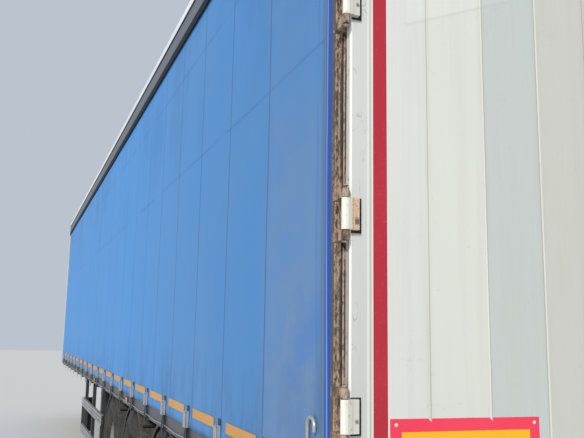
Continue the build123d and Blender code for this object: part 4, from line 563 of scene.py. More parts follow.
def hinge_paint():
    """White paint over steel that rusts along its edges, its inboard half and its ends."""
    paint = Paint("Hinge paint")
    inboard = DOOR_EDGE - abs(paint.y)
    cloud = paint.noise(30.0, 5.0, 0.65)
    fine = paint.noise(160.0, 4.0, 0.7)
    heavy = paint.z.within(2.00, 2.14, 0.02)
    band = inboard.within(-0.003, 0.030, 0.002) * heavy * cloud.rises(0.20, 0.42)
    spots = paint.noise(55.0, 4.0, 0.6, offset=6.0).rises(0.62, 0.67)
    rust = paint.mix(fine.rises(0.30, 0.65), (0.42, 0.25, 0.13), (0.74, 0.54, 0.36))
    foot = HINGES[1][0].z
    # bare: painted shadow below the lower bolt of one hinge
    bare = inboard.within(0.008, 0.023, 0.003) * paint.z.within(foot + 0.016, foot + 0.033, 0.004)
    shade = paint.coats(
        (0.62, 0.615, 0.555),
        # Painted highlight on the barrel's outboard side
        (inboard.falls(-0.0165, -0.0135) * 0.9, (0.84, 0.83, 0.73)),
        (cloud.rises(0.4, 0.8) * 0.35, (0.50, 0.47, 0.38)),
        (band.larger(spots * 0.7), rust),
        (inboard.within(0.0008, 0.0024, 0.0007) * 0.5, (0.25, 0.20, 0.15)),
        # Painted shadow below that bolt
        (bare * 0.85, (0.075, 0.066, 0.056)),
    )
    return paint.finish(
        shade, rough=0.45 + band * 0.35, height=cloud + spots * (-0.6), depth=0.0015, strength=0.5
    )


def hinge_steel():
    """Flaking rust in three tones, browner where it sits on the posts."""
    paint = Paint("Rusty hinge steel")
    coarse = paint.noise(38.0, 6.0, 0.68, up=0.6)
    flake = paint.cells(90.0, up=0.5)
    fine = paint.noise(150.0, 5.0, 0.75)
    dark, mid, pale = (toned(rust, HINGE_RUST_TONE) for rust in (RUST_DARK, RUST_MID, RUST_PALE))
    on_post = (paint.x - DOOR_FACE).rises(0.022, 0.034)
    settled = paint.mix(coarse.rises(0.42, 0.58), (0.115, 0.083, 0.066), (0.36, 0.225, 0.14))
    shade = paint.coats(
        dark,
        (coarse.rises(0.34, 0.50), mid),
        (coarse.rises(0.44, 0.58) * fine.rises(0.25, 0.5), pale),
        (fine.rises(0.58, 0.7) * 0.5, dark),
        (on_post * 0.62, settled),
    )
    return paint.finish(
        shade,
        rough=0.72 + fine * 0.2,
        height=coarse * 1.2 + flake * 0.5 + fine * 0.5,
        depth=0.003,
        strength=0.75,
    )


def post_paint():
    """Corner posts: three ridges of grey-brown rust, orange by the hinges, painted shade where the section is
    sunk.
    """
    paint = Paint("Rusty corner posts")
    from_doors = paint.x - DOOR_FACE
    coarse = paint.noise(13.0, 6.0, 0.7, along=1.3, up=0.5)
    fine = paint.noise(120.0, 5.0, 0.75)
    lumps = paint.noise(58.0, 4.0, 0.65, up=0.6, offset=12.0)
    middle = from_doors.within(0.050, 0.062, 0.002) * lumps.rises(0.34, 0.52)
    nearest = from_doors.falls(0.040, 0.044)
    tan = coarse.rises(0.5, 0.64) * fine.rises(0.3, 0.6)
    to_hinge = abs(paint.z - (HINGES[0][0].z + HINGES[0][1].z) / 2)
    for low, high in HINGES[1:]:
        to_hinge = to_hinge.smaller(abs(paint.z - (low.z + high.z) / 2))
    by_hinge = to_hinge.falls(0.09, 0.20)
    weeping = (by_hinge * from_doors.rises(0.060, 0.110)).larger(to_hinge.falls(0.15, 0.55) * 0.5)
    grain = paint.noise(70.0, 3.0, 0.6, up=0.75, offset=61.0)
    behind_face = from_doors.rises(0.0302, 0.0308)
    # sunk: painted shade in the sunk grooves and notches of the posts' sides
    sunk = abs(paint.y).within(POST_SIDE - 0.0085, POST_SIDE - 0.0015, 0.0004) * behind_face
    sunk = sunk * (0.9 - from_doors.rises(0.080, 0.095) * 0.7)
    # Two painted lines of groove shade, fainter by the hinges
    groove_shade = from_doors.within(0.0365, 0.0485, 0.001).larger(from_doors.within(0.073, 0.084, 0.001))
    groove_shade = groove_shade * (1 - by_hinge * 0.8)
    grey = paint.noise(4.0, 6.0, 0.7, up=0.35, offset=23.0)
    # left: painted shade on the posts' front ridge
    left = from_doors.rises(0.120, 0.130) * (0.55 + grey.rises(0.34, 0.54) * 0.4)
    shade = paint.coats(
        (0.10, 0.078, 0.066),
        (coarse.rises(0.40, 0.62), (0.235, 0.185, 0.15)),
        (middle * 0.9, (0.47, 0.41, 0.37)),
        (nearest * 0.6, (0.32, 0.285, 0.25)),
        (tan * 0.5, (0.34, 0.27, 0.21)),
        (fine.rises(0.54, 0.68) * 0.7, (0.06, 0.043, 0.035)),
        (grain.falls(0.42, 0.50) * 0.6, (0.08, 0.056, 0.043)),
        (grain.rises(0.51, 0.60) * 0.5, (0.50, 0.41, 0.33)),
        (weeping * grain.rises(0.42, 0.54) * 0.85, (0.60, 0.37, 0.22)),
        # Painted shade in the grooves and notches
        (sunk.larger(groove_shade * 0.85), (0.036, 0.029, 0.025)),
        # Painted shade on the front ridge
        (left, (0.08, 0.09, 0.09)),
        ((1 - behind_face) * 0.4, (0.30, 0.27, 0.23)),
    )
    return paint.finish(
        shade, rough=0.75 + fine * 0.2, height=coarse + lumps + fine * 0.6, depth=0.005, strength=0.85
    )


def aluminium(name, colour, rough=0.42, grime=0.3):
    """Dull drawn aluminium: fine lines along its length, water marks, grime."""
    paint = Paint(name)
    drawn = paint.noise(160.0, 3.0, 0.6, along=0.02)
    cloud = paint.noise(1.2, 5.0, 0.65)
    shade = paint.coats(
        colour,
        (drawn.rises(0.3, 0.7) * 0.2, toned(colour, 0.7)),
        (cloud.rises(0.4, 0.75) * grime, (0.23, 0.22, 0.20)),
    )
    return paint.finish(
        shade, rough=rough + cloud * 0.2, metal=0.75, height=drawn, depth=0.0004, strength=0.3
    )


def plywood():
    """Phenolic film on the floor: brown, with a fine mesh, scuffed pale along the middle."""
    paint = Paint("Floor plywood")
    mesh = paint.x.ribs(0.008).smaller(paint.y.ribs(0.008))
    wear = paint.noise(2.0, 6.0, 0.7, along=0.3)
    streak = paint.noise(60.0, 3.0, 0.6, along=0.03)
    shade = paint.coats(
        (0.10, 0.055, 0.032),
        (wear.rises(0.4, 0.7) * 0.6, (0.27, 0.20, 0.14)),
        (streak.rises(0.6, 0.8) * 0.4, (0.36, 0.30, 0.24)),
    )
    return paint.finish(shade, rough=0.55 + wear * 0.2, height=mesh, depth=0.0006, strength=0.5)


def tyre_rubber():
    """Tyre: black rubber, dusty on the tread, browned on the walls."""
    paint = Paint("Tyre rubber")
    dust = paint.noise(7.0, 5.0, 0.65)
    fine = paint.noise(220.0, 3.0, 0.7)
    shade = paint.coats(
        (0.017, 0.017, 0.018),
        (dust.rises(0.35, 0.75) * 0.7, (0.085, 0.074, 0.062)),
        (fine.rises(0.6, 0.75) * 0.3, DUST),
    )
    return paint.finish(shade, rough=0.82 + fine * 0.12, height=fine, depth=0.0007, strength=0.4)


def lens_paint():
    """Ribbed lens under a clear coat: red, and amber at the outermost rear lamps and along the sides."""
    paint = Paint("Lamp lens")
    rib = (paint.x + paint.y).ribs(0.006)
    cross = paint.z.ribs(0.009)
    grime = paint.noise(20.0, 4.0, 0.6)
    amber = abs(paint.y).rises(1.0195, 1.0205).larger((paint.x - DOOR_FACE).rises(0.4, 0.5))
    dark = paint.mix(amber, (0.12, 0.002, 0.002), (0.36, 0.10, 0.003))
    bright = paint.mix(amber, (0.42, 0.01, 0.01), (0.85, 0.33, 0.01))
    shade = paint.coats(dark, (rib * cross * 0.6, bright), (grime.rises(0.5, 0.8) * 0.25, DUST))
    return paint.finish(
        shade, rough=0.18 + grime * 0.2, height=rib + cross, depth=0.0008, strength=0.4, Coat_Weight=0.6
    )


def roof_paint():
    """White roof sheet: chalky, with water stains that run to its edges."""
    paint = Paint("Roof sheet")
    cloud = paint.noise(0.9, 5.0, 0.65)
    stain = paint.noise(5.0, 5.0, 0.7, across=0.12)
    fold = paint.noise(2.2, 3.0, 0.5, across=0.25, offset=6.0)
    over_bow = (paint.x - DOOR_FACE).to_nearest(ROOF_BOW_PITCH).falls(0.012, 0.05) * paint.z.rises(3.97, 3.99)
    height = fold + over_bow * 0.7
    shade = paint.coats(
        (0.80, 0.80, 0.77),
        (cloud.rises(0.35, 0.7) * 0.35, (0.60, 0.59, 0.54)),
        (stain.rises(0.5, 0.75) * 0.25, (0.42, 0.40, 0.35)),
        (over_bow * 0.16, (0.45, 0.44, 0.40)),
    )
    return paint.finish(shade, rough=0.5 + cloud * 0.2, height=height, depth=0.006, strength=0.25)


def floor_paint(settings):
    """Pale studio floor."""
    paint = Paint("Studio floor")
    cloud = paint.noise(0.35, 3.0, 0.5)
    colour = tuple(settings.floor_colour)
    return paint.finish(paint.mix(cloud * 0.12, colour, toned(colour, 0.93)), rough=0.85)


def reflector_paint():
    """Red reflector: rows of small prisms behind a smooth face."""
    paint = Paint("Reflector red")
    prism = (paint.y * 0.5 + paint.z).ribs(0.006)
    other = (paint.y * 0.5 - paint.z).ribs(0.006)
    grime = paint.noise(30.0, 4.0, 0.6)
    shade = paint.coats(
        (0.16, 0.003, 0.004),
        (prism * other, (0.62, 0.02, 0.02)),
        (grime.rises(0.5, 0.8) * 0.3, DUST),
    )
    return paint.finish(shade, rough=0.16 + grime * 0.2, height=prism + other, depth=0.0005, Coat_Weight=0.7)


def front_paint():
    """Front wall: white lacquer, rows of flush rivets beside its swages, washed streaks and road film."""
    paint = Paint("Front wall lacquer")
    across = paint.y.to_nearest(0.23) - 0.032
    up = paint.z.to_nearest(0.12)
    rivets = (across * across + up * up).falls(1.4e-5, 3.4e-5)
    cloud = paint.noise(1.4, 4.0, 0.6)
    streak = paint.noise(9.0, 5.0, 0.65, up=0.05)
    speck = paint.noise(120.0, 3.0, 0.6)
    film = paint.z.falls(1.1, 2.3) * (0.4 + cloud * 0.6)
    shade = paint.coats(
        WHITE,
        (cloud.rises(0.35, 0.7) * 0.35, (0.60, 0.61, 0.575)),
        (streak.rises(0.45, 0.75) * 0.28, (0.44, 0.43, 0.38)),
        (film * 0.45, (0.40, 0.37, 0.31)),
        (speck.rises(0.64, 0.70) * 0.3, (0.20, 0.18, 0.15)),
        (rivets * 0.35, (0.36, 0.36, 0.34)),
    )
    return paint.finish(
        shade, rough=0.38 + film * 0.3, height=rivets + streak * 0.3 + cloud, depth=0.0012, strength=0.4
    )


def make_finishes(curtains, doors):
    """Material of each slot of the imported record, and of the chassis's bolts."""
    return {
        "bolts": worn_paint("Chassis bolts", (0.16, 0.14, 0.12), dust=0.3, rust=0.9, metal=0.4),
        "chassis_paint": worn_paint("Chassis paint", (0.032, 0.033, 0.037), dust=0.45, rust=0.5),
        "rave_paint": worn_paint("Side rave paint", (0.075, 0.082, 0.092), dust=0.5, rust=0.4),
        "deck_plywood": plywood(),
        "bare_steel": hinge_steel(),
        "white_panel": front_paint(),
        "frame_paint": post_paint(),
        "rail_aluminium": aluminium("Rail aluminium", (0.22, 0.25, 0.29)),
        "roof_sheet": roof_paint(),
        "curtain_cloth": cloth_paint(curtains),
        "strap_webbing": webbing_paint("Strap webbing", (0.045, 0.05, 0.06)),
        "buckle_steel": worn_paint("Zinc plate", (0.56, 0.55, 0.52), rough=0.35, rust=0.35, metal=0.6),
        "black_rubber": worn_paint("Black rubber", (0.020, 0.020, 0.021), rough=0.75, dust=0.4),
        "black_plastic": worn_paint("Black plastic", (0.023, 0.023, 0.025), rough=0.55, dust=0.55),
        "guard_aluminium": aluminium("Guard aluminium", (0.45, 0.46, 0.47), rough=0.45, grime=0.5),
        "lamp_lens": lens_paint(),
        "leg_paint": worn_paint("Landing leg paint", (0.04, 0.041, 0.045), dust=0.5, rust=0.7),
        "tank_paint": worn_paint("Tank paint", (0.036, 0.037, 0.04), rough=0.4, dust=0.5, rust=0.3),
        "door_paint": door_paint(doors),
        "hinge_paint": hinge_paint(),
        "lock_steel": worn_paint("Lock zinc", (0.52, 0.51, 0.48), rough=0.38, rust=0.6, metal=0.5),
        "tyre_rubber": tyre_rubber(),
        "rim_paint": worn_paint("Rim silver", (0.36, 0.365, 0.37), rough=0.4, dust=0.5, rust=0.6, metal=0.3),
    }


FINISHES = {}


# Geometry Nodes


class Growth:
    """A Geometry Nodes tree with named inputs; node() adds any node and returns its first output."""

    kinds = {
        int: "NodeSocketInt",
        float: "NodeSocketFloat",
        tuple: "NodeSocketVector",
        type(None): "NodeSocketObject",
    }

    def __init__(self, name, **inputs):
        self.group = bpy.data.node_groups.new(name, "GeometryNodeTree")
        self.socket("Geometry", "NodeSocketGeometry")
        for label, value in inputs.items():
            self.socket(label, self.kinds[type(value)]).default_value = value
        self.socket("Material", "NodeSocketMaterial")
        self.socket("Geometry", "NodeSocketGeometry", "OUTPUT")
        self.entry = self.group.nodes.new("NodeGroupInput").outputs
        self.exit = self.group.nodes.new("NodeGroupOutput").inputs

    def socket(self, label, kind, side="INPUT"):
        return self.group.interface.new_socket(label, in_out=side, socket_type=kind)

    def node(self, kind, settings=None, **values):
        """Adds a node; an underscore in a socket's name stands for a space."""
        made = self.group.nodes.new(kind)
        for name, value in (settings or {}).items():
            setattr(made, name, value)
        for key, value in values.items():
            self.put(made.inputs[key.replace("_", " ")], value)
        return made.outputs[0]

    def put(self, socket, value):
        """Links a socket to an output, or sets its value."""
        if isinstance(value, bpy.types.NodeSocket):
            self.group.links.new(value, socket)
        else:
            socket.default_value = value

    def times(self, first, second):
        made = self.group.nodes.new("ShaderNodeMath")
        made.operation = "MULTIPLY"
        for socket, value in zip(made.inputs, (first, second)):
            self.put(socket, value)
        return made.outputs[0]

    def facing(self, **axes):
        """Rotation that turns an axis to where the point faces."""
        facing = self.node("GeometryNodeInputNamedAttribute", {"data_type": "FLOAT_VECTOR"}, Name="facing")
        return self.node("FunctionNodeAlignRotationToVector", axes, Vector=facing)

    def close(self, geometry):
        """Ends the tree: instances made real, then the material set."""
        real = self.node("GeometryNodeRealizeInstances", Geometry=geometry)
        painted = self.node("GeometryNodeSetMaterial", Geometry=real, Material=self.entry["Material"])
        self.group.links.new(painted, self.exit[0])
        return self

    def run(self, name, base, values):
        """Applies the tree to a base mesh and returns the plain mesh that it makes."""
        holder = add_object(name + "_base", base)
        modifier = holder.modifiers.new("Growth", "NODES")
        modifier.node_group = self.group
        for item in self.group.interface.items_tree:
            if item.in_out == "INPUT" and item.name in values:
                modifier[item.identifier] = values[item.name]
        bpy.context.view_layer.update()
        graph = bpy.context.evaluated_depsgraph_get()
        mesh = bpy.data.meshes.new_from_object(holder.evaluated_get(graph))
        bpy.data.objects.remove(holder)
        bpy.data.meshes.remove(base)
        mesh.name = name
        return mesh


def heads_growth():
    """A hexagonal or round head on a washer at each point, pointing where the point faces."""
    tree = Growth("Row of heads", Radius=0.01, Height=0.008, Taper=0.85, Sides=6, Washer=1.5)
    entry = tree.entry
    top = tree.times(entry["Radius"], entry["Taper"])
    wide = tree.times(entry["Radius"], entry["Washer"])
    thin = tree.times(entry["Height"], 0.25)
    head = tree.node(
        "GeometryNodeMeshCone",
        Vertices=entry["Sides"],
        Radius_Top=top,
        Radius_Bottom=entry["Radius"],
        Depth=entry["Height"],
    )
    washer = tree.node("GeometryNodeMeshCone", Vertices=14, Radius_Top=wide, Radius_Bottom=wide, Depth=thin)
    both = tree.node("GeometryNodeJoinGeometry", Geometry=washer)
    tree.group.links.new(head, both.node.inputs[0])
    turned = tree.facing(axis="Z")
    placed = tree.node(
        "GeometryNodeInstanceOnPoints", Points=entry["Geometry"], Instance=both, Rotation=turned
    )
    return tree.close(placed)


def row_growth():
    """A row of equal blocks."""
    tree = Growth("Row of blocks", Count=2, Start=(0, 0, 0), Step=(1, 0, 0), Size=(0.1, 0.1, 0.1))
    entry = tree.entry
    line = tree.node(
        "GeometryNodeMeshLine",
        {"mode": "OFFSET"},
        Count=entry["Count"],
        Start_Location=entry["Start"],
        Offset=entry["Step"],
    )
    block = tree.node("GeometryNodeMeshCube", Size=entry["Size"])
    return tree.close(tree.node("GeometryNodeInstanceOnPoints", Points=line, Instance=block))


def copies_growth():
    """A copy of a template object at each point, turned to face where the point faces."""
    tree = Growth("Copies of a piece", Template=None)
    shape = tree.node("GeometryNodeObjectInfo", Object=tree.entry["Template"]).node.outputs["Geometry"]
    turned = tree.facing(axis="Y", pivot_axis="Z")
    placed = tree.node(
        "GeometryNodeInstanceOnPoints", Points=tree.entry["Geometry"], Instance=shape, Rotation=turned
    )
    return tree.close(placed)


def tube_growth():
    """A round bar along a line of edges, its corners rounded."""
    tree = Growth("Bent bar", Radius=0.005, Bend=0.02, Sides=10)
    entry = tree.entry
    path = tree.node("GeometryNodeMeshToCurve", Mesh=entry["Geometry"])
    bent = tree.node(
        "GeometryNodeFilletCurve", {"mode": "POLY"}, Curve=path, Radius=entry["Bend"], Count=5
    )
    ring = tree.node(
        "GeometryNodeCurvePrimitiveCircle", Resolution=entry["Sides"], Radius=entry["Radius"]
    )
    return tree.close(tree.node("GeometryNodeCurveToMesh", Curve=bent, Profile_Curve=ring, Fill_Caps=True))


TREES = {}


def grown(maker, name, base, slot, body="trailer", material=None, smooth=False, **values):
    """Makes what a tree grows from a base mesh a piece; the tree is built at its first use."""
    if maker not in TREES:
        TREES[maker] = maker()
    values["Material"] = material or FINISHES[slot]
    return settle(name, TREES[maker].run(name, base, values), slot, body, smooth=smooth)


# Mesh helpers


def add_object(name, data):
    """Adds an object with this data to the scene."""
    item = bpy.data.objects.new(name, data)
    bpy.context.scene.collection.objects.link(item)
    return item


def settle(name, mesh, slot, body="trailer", material=None, smooth=False, replaces=()):
    """Makes a mesh a piece that rides on a body; slot is not used."""
    piece = add_object(name, mesh)
    if material is not None:
        mesh.materials.clear()
        mesh.materials.append(material)
    if smooth:
        mesh.shade_smooth()
    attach(piece, body)
    if replaces:
        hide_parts(*replaces)
    return piece


def mesh_from(name, places, faces=(), edges=()):
    mesh = bpy.data.meshes.new(name)
    mesh.from_pydata([tuple(place) for place in places], edges, faces)
    mesh.update()
    return mesh


def shell(name, places, faces):
    """A closed mesh, its faces turned outwards."""
    mesh = mesh_from(name, places, faces)
    shape = bmesh.new()
    shape.from_mesh(mesh)
    bmesh.ops.remove_doubles(shape, verts=shape.verts, dist=WELD)
    bmesh.ops.recalc_face_normals(shape, faces=shape.faces)
    shape.to_mesh(mesh)
    shape.free()
    return mesh


def ring_mesh(name, sections):
    """A closed ring through equal sections, each a closed loop of points."""
    tall = len(sections[0])
    faces = []
    for step in range(len(sections)):
        here = step * tall
        after = (step + 1) % len(sections) * tall
        for index in range(tall):
            onward = (index + 1) % tall
            faces.append((here + index, here + onward, after + onward, after + index))
    return shell(name, [place for section in sections for place in section], faces)


def points_mesh(name, spots):
    """Loose points that carry where they face."""
    mesh = mesh_from(name, [place for place, _ in spots])
    attribute = mesh.attributes.new("facing", "FLOAT_VECTOR", "POINT")
    for item, (_, facing) in zip(attribute.data, spots):
        item.vector = facing
    return mesh


# Heads of bolts, nuts, screws and rivets: radius, height, taper, sides, washer in shares of the radius
HEADS = {
    "marking_rivets": (0.0055, 0.0025, 0.5, 12, 1.05),
    "hinge_bolts": (0.0050, 0.0045, 0.8, 6, 1.2),
    "hinge_pins": (0.0085, 0.003, 0.8, 14, 1.2),
    "wheel_nuts": (0.0185, 0.025, 0.9, 6, 1.3),
    "wheel_studs": (0.0105, 0.010, 0.9, 10, 0.95),
    "hub_bolts": (0.006, 0.005, 0.85, 6, 1.2),
    "rail_rivets": (0.005, 0.0022, 0.5, 8, 1.05),
    "guide_bolts": (0.0075, 0.006, 0.85, 6, 1.5),
    "lamp_screws": (0.0035, 0.0016, 0.6, 10, 1.05),
    "underrun_bolts": (0.0105, 0.008, 0.9, 6, 1.4),
    "guard_bolts": (0.009, 0.006, 0.7, 12, 1.5),
    "foot_pins": (0.017, 0.012, 0.9, 6, 1.4),
    "gear_case_bolts": (0.007, 0.005, 0.85, 6, 1.4),
    "axle_nuts": (0.016, 0.014, 0.92, 6, 1.2),
    "tank_drains": (0.012, 0.022, 0.7, 6, 1.5),
    "floor_screws": (0.0065, 0.0009, 0.8, 8, 1.0),
    "coupling_cap": (0.020, 0.0036, 0.9, 24, 1.25),
}


def heads(kind, spots, slot, body="trailer", material=None, where=""):
    """Bolts, nuts or rivets of one kind: spots are (place, facing) pairs."""
    name = kind + where
    sizes = dict(zip(("Radius", "Height", "Taper", "Sides", "Washer"), HEADS[kind]))
    return grown(heads_growth, name, points_mesh(name, spots), slot, body, material, **sizes)


def copies(name, template, spots, slot):
    """Copies of a template mesh: spots are (place, facing) pairs."""
    model = add_object(name + "_template", template)
    piece = grown(copies_growth, name, points_mesh(name, spots), slot, Template=model)
    bpy.data.objects.remove(model)
    return piece


def row(name, count, start, step, size, slot, material):
    """A row of equal blocks; start is the middle of the first."""
    sizes = {"Count": count, "Start": start, "Step": step, "Size": size}
    return grown(row_growth, name, bpy.data.meshes.new(name), slot, material=material, **sizes)


def tube(name, lines, radius, bend, slot, material=None, sides=10):
    """Round bars along several lines of points."""
    places = []
    edges = []
    for line in lines:
        edges += [(len(places) + index, len(places) + index + 1) for index in range(len(line) - 1)]
        places += line
    sizes = {"Radius": radius, "Bend": bend, "Sides": sides}
    base = mesh_from(name, places, edges=edges)
    return grown(tube_growth, name, base, slot, material=material, smooth=True, **sizes)


def blocks_mesh(name, boxes, bevel=0.0):
    """Boxes given by lowest and highest corner, their edges rounded off by one chamfer."""
    shape = bmesh.new()
    for low, high in boxes:
        middle = (Vector(low) + Vector(high)) / 2
        size = Vector(high) - Vector(low)
        place = Matrix.Translation(middle) @ Matrix.Diagonal((*size, 1.0))
        bmesh.ops.create_cube(shape, size=1.0, matrix=place)
    if bevel:
        bmesh.ops.bevel(shape, geom=shape.edges[:], offset=bevel, segments=1, affect="EDGES")
    mesh = bpy.data.meshes.new(name)
    shape.to_mesh(mesh)
    shape.free()
    return mesh


def blocks(name, boxes, slot, body="trailer", material=None, bevel=0.0):
    """A piece made of boxes."""
    return settle(name, blocks_mesh(name, boxes, bevel), slot, body, material or FINISHES[slot])


def slab(middle, half, low, high):
    """A box by its middle and half its size in plan, and its two levels."""
    (x, y), (wide, deep) = middle, half
    return (x - wide, y - deep, low), (x + wide, y + deep, high)


def plate_mesh(name, outline, thickness, place):
    """A flat plate: outline as (across, up) points; place(across, up, out) gives each corner."""
    count = len(outline)
    places = [place(across, up, out) for out in (0.0, thickness) for across, up in outline]
    faces = [tuple(range(count)), tuple(range(2 * count - 1, count - 1, -1))]
    for index in range(count):
        onward = (index + 1) % count
        faces.append((index, onward, count + onward, count + index))
    return shell(name, places, faces)


BAND_STEPS = 40


def turns(count, shift=0.0):
    """Angles of equal steps round a full turn, shifted by a share of a step."""
    return [2 * math.pi * (step + shift) / count for step in range(count)]


def band_mesh(name, centre, inner, outer, half):
    """A flat band round an axis along X: its centre, its two radii and half its width."""
    sections = []
    for angle in turns(BAND_STEPS):
        section = []
        for reach, along in ((inner, -half), (outer, -half), (outer, half), (inner, half)):
            y = centre[1] + reach * math.cos(angle)
            section.append((centre[0] + along, y, centre[2] + reach * math.sin(angle)))
        sections.append(section)
    return ring_mesh(name, sections)


def rim_boxes(low, high, width, across, depth):
    """Four bars round a lens: across is the axis of its width, depth the bars' extent along the other."""
    boxes = []
    for start, end, bottom, top in (
        (low[across] - width, high[across] + width, high.z, high.z + width),
        (low[across] - width, high[across] + width, low.z - width, low.z),
        (low[across] - width, low[across], low.z, high.z),
        (high[across], high[across] + width, low.z, high.z),
    ):
        first = [depth[0], depth[0], bottom]
        last = [depth[1], depth[1], top]
        first[across] = start
        last[across] = end
        boxes.append((first, last))
    return boxes


def collar_boxes(centre, half, wall, low, high):
    """Four bars round a square tube that stands up."""
    x, y = centre
    out = half + wall
    return [
        ((x - out, y - out, low), (x + out, y - half, high)),
        ((x - out, y + half, low), (x + out, y + out, high)),
        ((x - out, y - half, low), (x - half, y + half, high)),
        ((x + half, y - half, low), (x + out, y + half, high)),
    ]


# Operators: one for each group of pieces, and one for the stage


class TRAILER_OT_finishes(bpy.types.Operator):
    """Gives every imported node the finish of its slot"""

    bl_idname = "trailer.finishes"
    bl_label = "Finishes"

    def execute(self, context):
        scene = context.scene
        FINISHES.update(make_finishes(scene.trailer_curtains, scene.trailer_doors))
        for entry in frame["record"]["subparts"]:
            mesh = NODES[entry["node"]].data
            mesh.materials.clear()
            mesh.materials.append(FINISHES[entry["material_slot"]])
        return {"FINISHED"}


class TRAILER_OT_curtains(bpy.types.Operator):
    """Hangs the cloth sides: tensioned by straps, folded a little, with a sleeve round each pole"""

    bl_idname = "trailer.curtains"
    bl_label = "Curtains"

    start = CURTAIN_LOW.x - DOOR_FACE
    span = CURTAIN_HIGH.x - CURTAIN_LOW.x
    height = CURTAIN_HIGH.z - CURTAIN_LOW.z
    sleeve_proud = 0.004
    behind_sleeve = -0.001
    hem_height = 0.055
    hem_proud = 0.0006
    column_step = 0.034
    row_step = 0.042
    fine_step = 0.004
    fine_end = 0.25
    sleeve_reach = 0.25
    hem_reach = 0.35
    rail_reach = 0.3
    pull_reach = 0.9

    def columns(self):
        """Places along the cloth: fine round the two sleeves, coarse between."""
        fine = int((self.fine_end - self.start) / self.fine_step)
        rear = [self.start + self.fine_step * step for step in range(fine + 1)]
        front = [self.start + self.span - (place - self.start) for place in reversed(rear)]
        gap = front[0] - rear[-1]
        count = int(gap / self.column_step)
        between = [rear[-1] + gap * step / count for step in range(1, count)]
        return rear + between + front

    def rows(self):
        """Levels up the cloth: close in the hem, then equal."""
        rows = [CURTAIN_LOW.z + self.hem_height * share for share in (0.0, 0.5, 1.0, 1.02)]
        count = int(self.height / self.row_step)
        step = (CURTAIN_HIGH.z - rows[-1]) / count
        return rows + [rows[-1] + step * number for number in range(1, count + 1)]

    def proud(self, place, level, slack):
        """How far the cloth stands out of its plane."""
        mirrored = min(place, 2 * self.start + self.span - place)
        middle = (SLEEVE_START + SLEEVE_END) / 2
        half = (SLEEVE_END - SLEEVE_START) / 2
        share = (mirrored - middle) / half
        if abs(share) < 1:
            return self.sleeve_proud * math.sqrt(1 - share * share)
        if mirrored < SLEEVE_START:
            return self.behind_sleeve
        up = level - CURTAIN_LOW.z
        free = min(1.0, (mirrored - SLEEVE_END) / self.sleeve_reach) * min(1.0, up / self.hem_reach)
        below_rail = min(1.0, (CURTAIN_HIGH.z - level) / self.rail_reach)
        broad = noise.noise(Vector((place * 0.9, level * 0.55, 3.1)))
        crease = noise.noise(Vector((place * 2.6 + level * 1.5, level * 1.9 - place * 0.8, 7.7)))
        fold = max(0.0, 1.0 - abs(crease) * 7.0) * 0.5
        pull = math.cos(2 * math.pi * (DOOR_FACE + place - STRAP_STATIONS[0]) / STRAP_PITCH)
        depth = (broad * 1.3 + fold * 0.5) * (0.3 + 0.7 * below_rail)
        return slack * free * (depth - 0.35 * pull * max(0.0, 1.0 - up / self.pull_reach))

    def cloth(self, sign, settings):
        rows = self.rows()
        columns = self.columns()
        plane = CURTAIN_LOW.y + settings.thickness
        places = []
        for place in columns:
            for level in rows:
                out = self.proud(place, level, settings.slack)
                hem = self.hem_proud if level <= CURTAIN_LOW.z + self.hem_height else 0.0
                places.append((DOOR_FACE + place, sign * (plane + out + hem), level))
        tall = len(rows)
        faces = []
        for column in range(len(columns) - 1):
            for level in range(tall - 1):
                corner = column * tall + level
                face = (corner, corner + 1, corner + tall + 1, corner + tall)
                faces.append(face if sign > 0 else face[::-1])
        return mesh_from("curtain", places, faces)

    def execute(self, context):
        settings = context.scene.trailer_curtains
        for side, sign in SIDES:
            piece = settle(
                f"cloth_{side}",
                self.cloth(sign, settings),
                "curtain_cloth",
                material=FINISHES["curtain_cloth"],
                smooth=True,
                replaces=[f"curtain_{side}"],
            )
            thick = piece.modifiers.new("Thickness", "SOLIDIFY")
            thick.thickness = settings.thickness
            thick.offset = 0.0
        return {"FINISHED"}


